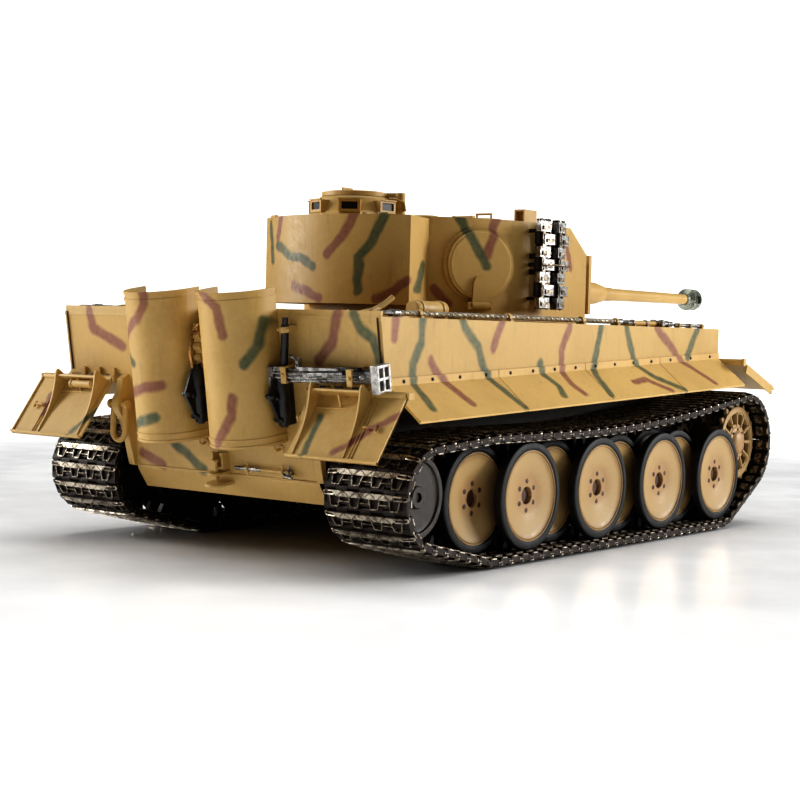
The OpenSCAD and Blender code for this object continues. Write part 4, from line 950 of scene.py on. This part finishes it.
build = Build(ON_PLATE)
for side in (-1, 1):
    m = sided(side)
    # Towing eye plate with its shackle
    build.prism([(0.5, 1), (-2.0, 2), (-3.6, 14), (-5.6, 24), (-8.6, 29), (-9.4, 32), (-8.6, 35.4),
        (-6, 38), (-4.5, 44), (0.5, 46)], -61.2, -57.2, m=m)
    shackle(build, m @ moved(-6.0, -59.2, 32.2) @ turned("Y", LEAN))
    # Small hooks under the exhaust shields
    for y in (10, 36):
        hook = [(0, -y, 15.4), (-3.2, -y, 15.2), (-4.6, -y, 16.4), (-4.4, -y, 18.4)]
        build.tube(hook, 0.75, m=m)
        build.lathe([(0, 0.8), (1.7, 0.7), (2, 0.3), (2, 0)], 12, m=m @ moved(0, -y, 15.6) @ OUT)
    # Mudguard hinge brackets and the strip over them
    for y in (67.5, 77.5, 88):
        build.box((-1.4, -y - 1.7, 44.4), (0.4, -y + 1.7, 48.4), m=m)
        build.box((-2.2, -y - 1.7, 43.6), (-0.4, -y + 1.7, 45.0), m=m)
    # Welded seam along the foot of the plate
    build.rod((-0.1, -56, 1.6), (-0.1, 0, 1.6), 0.45, 8, m=m)
# Tow coupling: a rounded shelf with jaws and a pin
build.prism([(0.4, -3), (-6, -3), (-6, -1.4), (0.4, -1.4)], -5.2, 5.2)
build.lathe([(0, -3.2), (4.6, -3.2), (5.4, -2.6), (5.4, -1.8), (4.6, -1.2), (0, -1.2)], 32, m=moved(-6, 0, 0))
build.lathe([(0, 3.4), (3.4, 3.4), (4.0, 3.0), (4.0, 2.4), (3.4, 2.0), (0, 2.0)], 32, m=moved(-5, 0, 0))
build.prism([(0.4, 2.0), (-5, 2.0), (-5, 3.4), (0.4, 3.4)], -3.9, 3.9)
build.rod((-5.4, 0, -3.4), (-5.4, 0, 8.6), 1.0)
build.lathe([(0, 1.3), (1.5, 1.2), (1.9, 0.6), (1.9, 0)], 16, m=moved(-5.4, 0, 8.2))
for y in (-2.9, 2.9):
    build.box((-4.2, y - 0.5, 4.4), (0.4, y + 0.5, 11.6))
    build.box((-4.6, y - 0.9, 10.6), (-2.6, y + 0.9, 12.2))
# Hoop handle between the shields, held by round feet
HOOP_Y = 2.0
HOOP_OUT = 7.6
hoop = [(0, 48.2), (3.0, 48.8), (4.6, 52), (5.6, 58.5), (4.8, 64.5), (2.8, 69.2), (0, 69.9)]
build.tube([(-HOOP_OUT - out, HOOP_Y, rise) for out, rise in hoop], 0.75, 10, 2)
for rise in (48.2, 69.9):
    foot = moved(-HOOP_OUT + 0.4, HOOP_Y, rise) @ OUT
    build.lathe([(0, 2.0), (1.4, 1.9), (1.9, 1.0), (1.9, 0)], 16, 2, foot)
# Stepped housing that the hoop stands on
build.box((-HOOP_OUT, HOOP_Y - 2.6, 46), (0.2, HOOP_Y + 2.4, 72))
for rise in (51.4, 56.6, 61.8, 67.0):
    build.prism([(-HOOP_OUT - 1.0, rise - 1.5), (-HOOP_OUT - 1.8, rise), (-HOOP_OUT - 1.0, rise + 1.5),
        (-HOOP_OUT + 0.2, rise + 1.9), (-HOOP_OUT + 0.2, rise - 1.9)], HOOP_Y - 2.2, HOOP_Y + 2.0)
# A dark line of painted shade down the outer edge of the plate: a thin rod in the painted-shade brown
for side in (-1, 1):
    build.rod((-0.35, side * 96.2, 47), (-0.35, side * 96.2, 75.4), 0.45, 8, 3)
# Starter crank in its clamps
CRANK_S = 5.5
build.rod((-2.4, -9.5, CRANK_S), (-2.4, -25, CRANK_S), 0.95, slot=1)
build.rod((-2.4, -25, CRANK_S), (-2.4, -43, CRANK_S), 0.7)
build.tube([(-2.4, -38, CRANK_S), (-3.2, -39.5, CRANK_S - 1.6), (-3.2, -44, CRANK_S - 2.2)], 0.7, slot=1)
for y, look in ((17, 0), (38, 0), (42, 1)):
    build.ring(0.7, 1.55, 0.7, -0.7, 16, look, moved(-2.4, -y, CRANK_S) @ turned("X", 90))
    build.box((-2.2, -y - 0.7, CRANK_S - 1.4), (0.3, -y + 0.7, CRANK_S - 0.6), look)
    build.rod((-2.4, -y, CRANK_S - 3.0), (-2.4, -y, CRANK_S + 3.0), 0.5, 8, look)
# Hinge pins and lugs of the rear mudguards, placed in the hull's own frame
HINGE_REAR = (-71.6, 79.0)
build.base = NO_MOVE
for side in (-1, 1):
    m = sided(side)
    build.rod((HINGE_REAR[0], -113.2, HINGE_REAR[1]), (HINGE_REAR[0], -63.4, HINGE_REAR[1]), 0.8, slot=1, m=m)
    for y in (62.2, 113.2):
        reach = 5 if y < 100 else 2.4
        build.prism([(HINGE_REAR[0] - 1.4, 77.6), (HINGE_REAR[0] + reach, 77.6),
            (HINGE_REAR[0] + reach, 80.6), (HINGE_REAR[0] - 1.4, 80.4)], -y - 1.0, -y, m=m)
build.object("rear_plate_fittings", [plain_paint, tool_steel, bronze, recess_shade_brown], "hull",
    ["rear_fittings"], bevel=0.15)

# Bar tools in their clamps, with the four-window block at the corner
build = Build(ON_PLATE)
TOOL_S = 50.4
BARS = ((2.8, 2.2, 7.6, 0.85, 0), (1.2, 1.2, 8.6, 0.95, 0), (-0.6, 0.0, 8.8, 0.9, 0),
    (-2.2, -1.2, 7.8, 1.0, 0), (0.4, 3.4, 6.0, 0.7, 2), (-1.6, 1.6, 6.2, 0.8, 2))
for rise, spread, depth, r, look in BARS:
    build.rod((-depth, -43, TOOL_S + rise), (-4.6 - 0.2 * depth, -97, TOOL_S + spread), r, 10, look)
# Flat jaws that meet at their joint, and the dark grips
for y0, y1, s0, s1 in ((-58, -80, 53.6, 54.2), (-60, -82, 51.0, 52.6)):
    build.prism([(y0, s0 - 0.9), (y0, s0 + 0.9), (y1, s1 + 0.5), (y1, s1 - 0.5)], 7.2, 9.0, m=turned("Z", 90))
for y0, y1, level in ((-68, -80, 52.2), (-79, -90, 54.4)):
    build.box((-8.4, y1, level - 0.7), (-5.4, y0, level + 0.7), 2)
for y in (-53, -60.5, -72, -92):
    build.lathe([(0, 1.4), (1.0, 1.3), (1.4, 0.7), (1.4, -1.2)], 12, m=moved(-7.6, y, TOOL_S + 0.6) @ OUT)
# Wing screw and its lever over the inner clamp
build.rod((-7.6, -57, 51), (-7.6, -57, 56.6), 0.8, 10)
build.tube([(-7.6, -57, 55.8), (-7.4, -55, 58.2), (-7.0, -51.4, 59.2)], 0.7)
for lift in (54.6, 57.0):
    build.lathe([(0, 1.2), (1.4, 1.0), (1.7, 0), (1.4, -1.0), (0, -1.2)], 16,
        m=moved(-7.6, -57, lift) @ turned("X", 90))
# Upright clamp at the inner end, of dark steel, and two painted straps
build.box((-9.8, -43.6, 46.4), (-6.2, -40.6, 54.2))
build.box((-10.4, -42.8, 45.2), (-8.8, -41.4, 50.0))
build.box((-9.4, -48.0, 52.4), (-7.2, -40.8, 54.4))
for y in (-49.8, -86.6):
    build.box((-9.6, y - 1.5, 47.2), (0.2, y + 1.5, 48.2), 1)
    build.box((-10.2, y - 1.5, 47.2), (-9.4, y + 1.5, 54.6), 1)
    build.box((-9.6, y - 1.5, 53.8), (0.2, y + 1.5, 54.6), 1)
    build.lathe([(0, 0.81), (0.54, 0.72), (0.9, 0.315), (0.9, 0)], 12, 1, moved(-10.2, y, 50.9) @ OUT)
# The block: two by two openings that face outwards
x0, x1 = -9.4, -0.4
for x in (x0, (x0 + x1) / 2 - 0.65, x1 - 1.3):
    build.box((x, -101.4, 44.4), (x + 1.3, -97.6, 56.4), 3)
for z in (44.4, 49.8, 55.1):
    build.box((x0 + 0.05, -101.3, z), (x1 - 0.05, -97.7, z + 1.3), 3)
build.box((x0 + 0.2, -98.6, 44.6), (x1 - 0.2, -97.8, 56.2), 2)
build.object("plate_tools", [tool_steel, plain_paint, black_metal, block_steel], "hull", ["rear_tools"],
    bevel=0.16)

# Jack halves: tapered bodies with a pointed flange, and a slim tube in its clamp
build = Build(ON_PLATE)
for depth, y in ((5.4, -44.2), (10.4, 1.7)):
    m = moved(-depth, y, 0)
    body = [(0, 26.6), (1.6, 26.8), (2.5, 28.4), (3.1, 32), (3.4, 40), (3.4, 50), (2.6, 52.4), (1.9, 54),
        (0, 54.2)]
    build.lathe(body, 20, m=m)
    build.prism([(0.5, 27.4), (-2.6, 27.8), (-3.8, 31), (-8.4, 41.0), (-8.6, 42.2), (-3.6, 51.4),
        (0.5, 53)], -0.3, 0.9, m=m)
    build.rod((-3.0, 1.0, 31), (-3.6, 1.0, 48), 1.1, m=m)
    for rise, out in ((30.6, -3.0), (40.6, -4.4), (41.6, -7.4)):
        for level, turn in ((1.0, -90), (-0.2, 90)):
            screw = m @ moved(out, level, rise) @ turned("X", turn)
            build.lathe([(0, 1.8), (0.9, 1.6), (1.2, 1.0), (1.2, 0)], 12, m=screw)
    build.box((0, -2.2, 27.6), (depth + 0.2, 2.2, 52), m=m)
build.rod((-5.6, -46.6, 52), (-5.6, -49.4, 72.4), 1.75, 16)
build.rod((-5.6, -49.4, 72.4), (-5.6, -49.8, 75.4), 1.3, 16)
build.ring(1.8, 2.5, -1.3, 1.3, 20, 1, moved(-5.6, -49.1, 70.2))
build.box((-4.2, -51.4, 69), (0.2, -46.8, 71.4), 1)
build.rod((-6.6, -52.6, 70.2), (-6.6, -45.8, 70.2), 0.7, 10, 1)
build.object("jack_halves", [black_metal, plain_paint], "hull", ["jack"], bevel=0.16)

# ---- Deck tools -----------------------------------------------------------
build = Build(moved(0, 0, DECK_Z))
# Canister with domed ends and two straps
along_x = turned("Y", 90)
can = [(0, -0.2), (2.2, 0), (3.2, 0.5), (3.6, 1.2), (3.6, 22.8), (3.2, 23.5), (2.2, 24), (0, 24.2)]
build.lathe(can, 32, m=moved(-27, -80, 4.4) @ along_x)
for x in (-23.4, -8):
    build.ring(3.6, 4.0, 0, 1.6, 32, m=moved(x, -80, 4.4) @ along_x)
    build.box((x, -84.6, 0), (x + 1.6, -75.4, 1.0))
    build.box((x, -82, 0), (x + 1.6, -78, 1.6))
build.lathe([(3.0, 0), (3.2, 0.3), (3.2, 0.6), (2.6, 0.9), (0, 0.9)], 24, m=moved(-28, -80, 4.4) @ along_x)
# Catch lever at the rear corner
build.box((-65, -87, 0), (-59, -81, 1.2))
build.tube([(-66, -82, 1.4), (-60, -83.4, 2.6), (-54, -85, 5.4), (-49.6, -86.4, 8.8)], 1.25, 10)
build.tube([(-64, -86, 1.2), (-60, -85, 3.2), (-56.5, -84.6, 3.6)], 0.9)
# Hammer: handle in clips, head at the front
build.rod((148, -90, 1.7), (178.5, -90, 1.7), 1.35, 16)
build.rod((145, -90, 1.7), (148.2, -90, 1.7), 1.35, 16)
build.lathe([(0, -4), (1.7, -4), (2, -3.6), (2, -1.4), (1.5, -0.8), (1.5, 0.8), (2, 1.4), (2, 3.6),
    (1.7, 4), (0, 4)], 16, 1, moved(180.4, -90, 2.0) @ turned("X", 90))
build.rod((178, -90, 1.8), (196, -90, 1.8), 1.45, 14, 1)
for x in (152, 166, 190):
    build.box((x, -92.2, 0), (x + 1.4, -87.8, 0.8), 1)
    build.ring(1.4, 1.8, 0, 1.4, 16, 1, moved(x, -90, 1.7) @ along_x)
build.rod((198, -91, 1.3), (232, -91, 1.3), 0.9, slot=1)
for x in (201, 214, 228):
    build.box((x, -92.6, 0), (x + 1.6, -89.4, 2.5))
# Left side: spade and a rod
build.rod((120, 85.5, 1.4), (182, 85.5, 1.4), 1.2, 16)
build.prism([(182, 0), (182, 2.6), (190, 1.9), (204, 1.0), (204, 0)], 79, 90, 1)
build.rod((-44, 77, 1.3), (46, 77, 1.3), 1.0, slot=1)
for x in (-36, 0, 38):
    build.box((x, 75.4, 0), (x + 1.8, 78.6, 2.7))
build.object("deck_gear", [plain_paint, tool_steel], "hull", ["deck_tools"], bevel=0.12)

# ---- Rear mudguards -------------------------------------------------------
REAR_DROP = 54
REAR_LENGTH = 34


def rear_mudguard(side, name):
    """Tray with two tall curved gussets, a wing outside the outer one, and latches."""
    build = Build(moved(HINGE_REAR[0], 0, HINGE_REAR[1]) @ sided(side))
    build.ring(0.85, 1.7, 0, 48.6, 20, m=moved(0, -64, 0) @ turned("X", 90))
    build.base = build.base @ Matrix.Diagonal((-1, 1, 1, 1)) @ turned("Y", REAR_DROP)
    build.box((1, -113, -0.5), (REAR_LENGTH, -64, 0.5))
    build.box((REAR_LENGTH - 0.9, -113, -0.5), (REAR_LENGTH, -64, 2.0))
    build.box((1, -113.0, -0.5), (REAR_LENGTH, -112.2, 1.3))
    # Gussets: high at the hinge, sweeping down to the lip
    for y in (-67.0, -94.5):
        outline = [(1.0, 0.3), (REAR_LENGTH - 1.2, 0.3), (REAR_LENGTH - 1.6, 1.0)]
        for k in range(9):
            t = k / 8
            outline.append((REAR_LENGTH - 5 - t * (REAR_LENGTH - 8.5), 1.4 + 7.6 * t ** 2.2))
        outline += [(1.6, 9.2), (1.0, 8.6)]
        build.prism(outline, y - 0.5, y + 0.5)
    # Cross wall at the top of the tray, a step, and the folded seam beside the outer gusset
    build.prism([(1.0, 0.2), (2.0, 0.2), (4.4, 7.4), (3.4, 7.8)], -94.5, -67)
    build.box((8.2, -94.2, 0.4), (8.9, -67.2, 1.1))
    build.prism([(7.2, 0.2), (8.2, 0.2), (4.6, 5.8), (4.0, 5.4)], -81.6, -80.6)
    for y in (-97.2, -98.8):
        build.box((4.5, y - 0.25, 0.3), (REAR_LENGTH - 1.2, y + 0.25, 0.95))
    # T-shaped latch handle on the wing
    build.rod((17.5, -101.5, 0.4), (17.5, -101.5, 1.8), 0.7, 10)
    build.rod((17.5, -98.6, 1.8), (17.5, -105.6, 1.8), 0.55, 10)
    build.rod((16.2, -105.6, 1.8), (19.4, -105.6, 1.8), 0.7, 10)
    if side > 0:
        build.rod((5.6, -70.5, 3.4), (5.6, -86.5, 3.4), 1.9, 20)
        for y in (-71.5, -85.0):
            build.ring(1.9, 2.3, 0, 1.2, 20, m=moved(5.6, y, 3.4) @ turned("X", 90))
    build.object("rear_guard_" + name, [guard_paint], "rear_mudguard_" + name, ["rear_mudguard_" + name],
        bevel=0.15)


for side, name in SIDES:
    rear_mudguard(side, name)

# ---- Spare links on the turret wall ---------------------------------------
SPARE_STAND = 8.4
build = Build()
for angle in (-6.45, 4.1):
    wall = moved(TURRET_X, 0, 0) @ turned("Z", angle) @ moved(0, -TURRET_R, 0)
    track_link(build, wall @ moved(0, -SPARE_STAND, 141.3) @ turned("X", -90))
    for z in (124, 141, 158):
        build.box((-0.7, -SPARE_STAND + LINK_IN - 0.6, z - 0.9), (0.7, 0.0, z + 0.9), 3, wall)
    # Wide knuckles in turn on either side, seen bare and bright
    for k in range(7):
        low = 119.2 + 6.35 * k
        shift = 1.7 if k % 2 else -1.5
        build.box((shift - 4.0, -SPARE_STAND - 3.4, low), (shift + 4.0, -SPARE_STAND - 0.4, low + 5.3), 4,
            wall)
        build.box((shift - 2.6, -SPARE_STAND - 4.0, low + 1.0), (shift + 2.6, -SPARE_STAND - 3.3,
            low + 3.0), 2, wall)
middle = moved(TURRET_X, 0, 0) @ turned("Z", -1.2) @ moved(0, -TURRET_R, 0)
build.rod((-12.6, -SPARE_STAND - 3.6, 141), (12.6, -SPARE_STAND - 3.6, 141), 0.55, 10, 2, middle)
build.object("spare_track", [dark_steel, bright_steel, edge_steel, black_metal, tool_steel], "turret",
    ["spare_links"], bevel=0.1)

# ---- Extra detail on the turret -------------------------------------------
CUPOLA_BACK = 27
CUPOLA_Y = 31
ROOF_Z = 162.5
WINDOW_COUNT = 7
WINDOW_START = 211.4
cupola = moved(TURRET_X - CUPOLA_BACK, CUPOLA_Y, ROOF_Z)
build = Build()
for k in range(WINDOW_COUNT):
    m = cupola @ turned("Z", WINDOW_START + k * 360 / WINDOW_COUNT)
    build.box((23.38, -4.15, 5.65), (23.62, 4.15, 9.35), m=m)
    build.box((24.1, -5.7, 10.5), (25.2, 5.7, 11.1), 1, m)
build.object("cupola_windows", [dark_glass, plain_paint], "turret", ())
build = Build()
build.tube([(2.4, -21.2, 12.2), (5.0, -23.6, 12.0), (7.4, -26.6, 10.4), (7.8, -27.2, 6.0)], 0.8, m=cupola)
build.object("cupola_hinge_arm", [plain_paint], "turret", ())

# Long sleeve of the gun mantlet, and the shield plate in front of its face
GUN_Z = 132.0
build = Build()
sleeve = [(4.75, 0), (7.4, 0), (7.0, 20), (6.7, 66.5), (6.5, 68), (5.1, 76), (4.9, 76.6), (4.75, 76.6)]
build.lathe(sleeve, 40, m=moved(TURRET_X + 100.2, 0, GUN_Z) @ turned("Y", 90), loop=True)
for side in (-1, 1):
    build.box((171.6, min(side * 14, side * 51.5), 117.8), (174.2, max(side * 14, side * 51.5), 150))
build.box((171.6, -14, 145.2), (174.2, 14, 150))
build.object("mantlet_sleeve", [plain_paint], "gun_mantlet", (), bevel=0.3)

# ---- Stage, light and camera ----------------------------------------------
CAMERA_PLACE = (AXLE_X - 0.6144, -0.5222, 0.1062)
CAMERA_TURN = (0.6513, -0.0422, 0.0269)
CAMERA_LENS = 74.25
FLOOR_REACH = 1150.0
FLOOR_DROP = 0.0002
MODEL_MIDDLE = (0.0, 0.0, 0.1)


def make_floor():
    """A pale glossy sheet, fading to plain white well away from the model."""
    build = Build()
    build.lathe([(0, 0), (FLOOR_REACH, 0)])
    bmesh.ops.delete(build.bm, geom=[f for f in build.bm.faces if len(f.verts) > 4], context="FACES_ONLY")
    s = Shader("pale_floor")
    point, normal = s.place()
    fine = s.noise(point, 0.02, 3.0)
    colour = s.mix(s.span(fine, 0.3, 0.7, 0.0, 0.3), (0.90, 0.90, 0.90), (0.93, 0.93, 0.93))
    rough = s.span(fine, 0.3, 0.7, 0.16, 0.22)
    gloss = s.add("BsdfPrincipled", {"Base Color": colour, "Roughness": rough, "Specular IOR Level": 0.5})
    white = s.add("Emission", {"Color": (1, 1, 1, 1), "Strength": 1.0})
    fade = s.span(s.vector("LENGTH", point), 450.0, 950.0)
    both = s.add("MixShader", {0: fade, 1: gloss.outputs[0], 2: white.outputs[0]})
    s.add("OutputMaterial", {"Surface": both.outputs[0]})
    mesh = bpy.data.meshes.new("floor")
    build.bm.transform(Matrix.Scale(MM, 4))
    build.bm.to_mesh(mesh)
    build.bm.free()
    mesh.materials.append(s.material)
    floor = bpy.data.objects.new("floor", mesh)
    floor.location = (0, 0, -FLOOR_DROP)
    bpy.context.scene.collection.objects.link(floor)
    return floor


def make_world():
    """White where the camera sees it, dim for everything that it lights."""
    world = bpy.data.worlds.new("studio")
    world.use_nodes = True
    tree = world.node_tree
    tree.nodes.clear()
    s = Shader("", tree)
    coords = s.add("TexCoord")
    x, y, z = s.split(coords.outputs["Generated"])
    strength = s.span(z, -0.2, 0.9, 0.05, 0.15)
    path = s.add("LightPath")
    seen = s.add("Mix", {0: path.outputs["Is Camera Ray"], 2: strength, 3: 1.0}).outputs[0]
    background = s.add("Background", {"Color": (1, 1, 1, 1), "Strength": seen})
    s.add("OutputWorld", {"Surface": background.outputs[0]})
    bpy.context.scene.world = world


def area_light(name, place, target, size, power, only=None):
    """A rectangular lamp. only names an object it lights, when it lights nothing else."""
    data = bpy.data.lights.new(name, "AREA")
    data.shape = "RECTANGLE"
    data.size, data.size_y = size
    data.energy = power
    lamp = bpy.data.objects.new(name, data)
    lamp.location = place
    lamp.rotation_euler = (Vector(target) - Vector(place)).to_track_quat("-Z", "Y").to_euler()
    bpy.context.scene.collection.objects.link(lamp)
    if only:
        receivers = bpy.data.collections.new(name + "_receivers")
        receivers.objects.link(only)
        lamp.light_linking.receiver_collection = receivers


def make_camera():
    """Behind the model and to its right, a little above the deck line, with a slight roll."""
    yaw, pitch, roll = CAMERA_TURN
    ahead = Vector((math.cos(yaw) * math.cos(pitch), math.sin(yaw) * math.cos(pitch), math.sin(pitch)))
    right = Vector((math.sin(yaw), -math.cos(yaw), 0))
    up = right.cross(ahead)
    tilted_right = right * math.cos(roll) + up * math.sin(roll)
    tilted_up = -right * math.sin(roll) + up * math.cos(roll)
    data = bpy.data.cameras.new("camera")
    data.sensor_width = 36
    data.lens = CAMERA_LENS
    data.clip_start = 0.01
    camera = bpy.data.objects.new("camera", data)
    turn = Matrix((tilted_right, tilted_up, -ahead)).transposed().to_4x4()
    camera.matrix_world = Matrix.Translation(CAMERA_PLACE) @ turn
    bpy.context.scene.collection.objects.link(camera)
    bpy.context.scene.camera = camera


floor = make_floor()
make_world()
area_light("left", (-0.85, 1.3, 0.5), MODEL_MIDDLE, (0.5, 0.8), 15)
area_light("right", (1.1, -1.25, 0.6), MODEL_MIDDLE, (0.8, 0.7), 20)
area_light("top", (0.15, 0.1, 1.4), MODEL_MIDDLE, (1.1, 0.9), 5.5)
area_light("sweep", (-0.1, -0.1, 1.6), (0.0, 0.0, 0.0), (2.2, 2.2), 20, floor)
make_camera()
bpy.context.scene.view_settings.view_transform = "Standard"
bpy.context.scene.view_settings.look = "High Contrast"
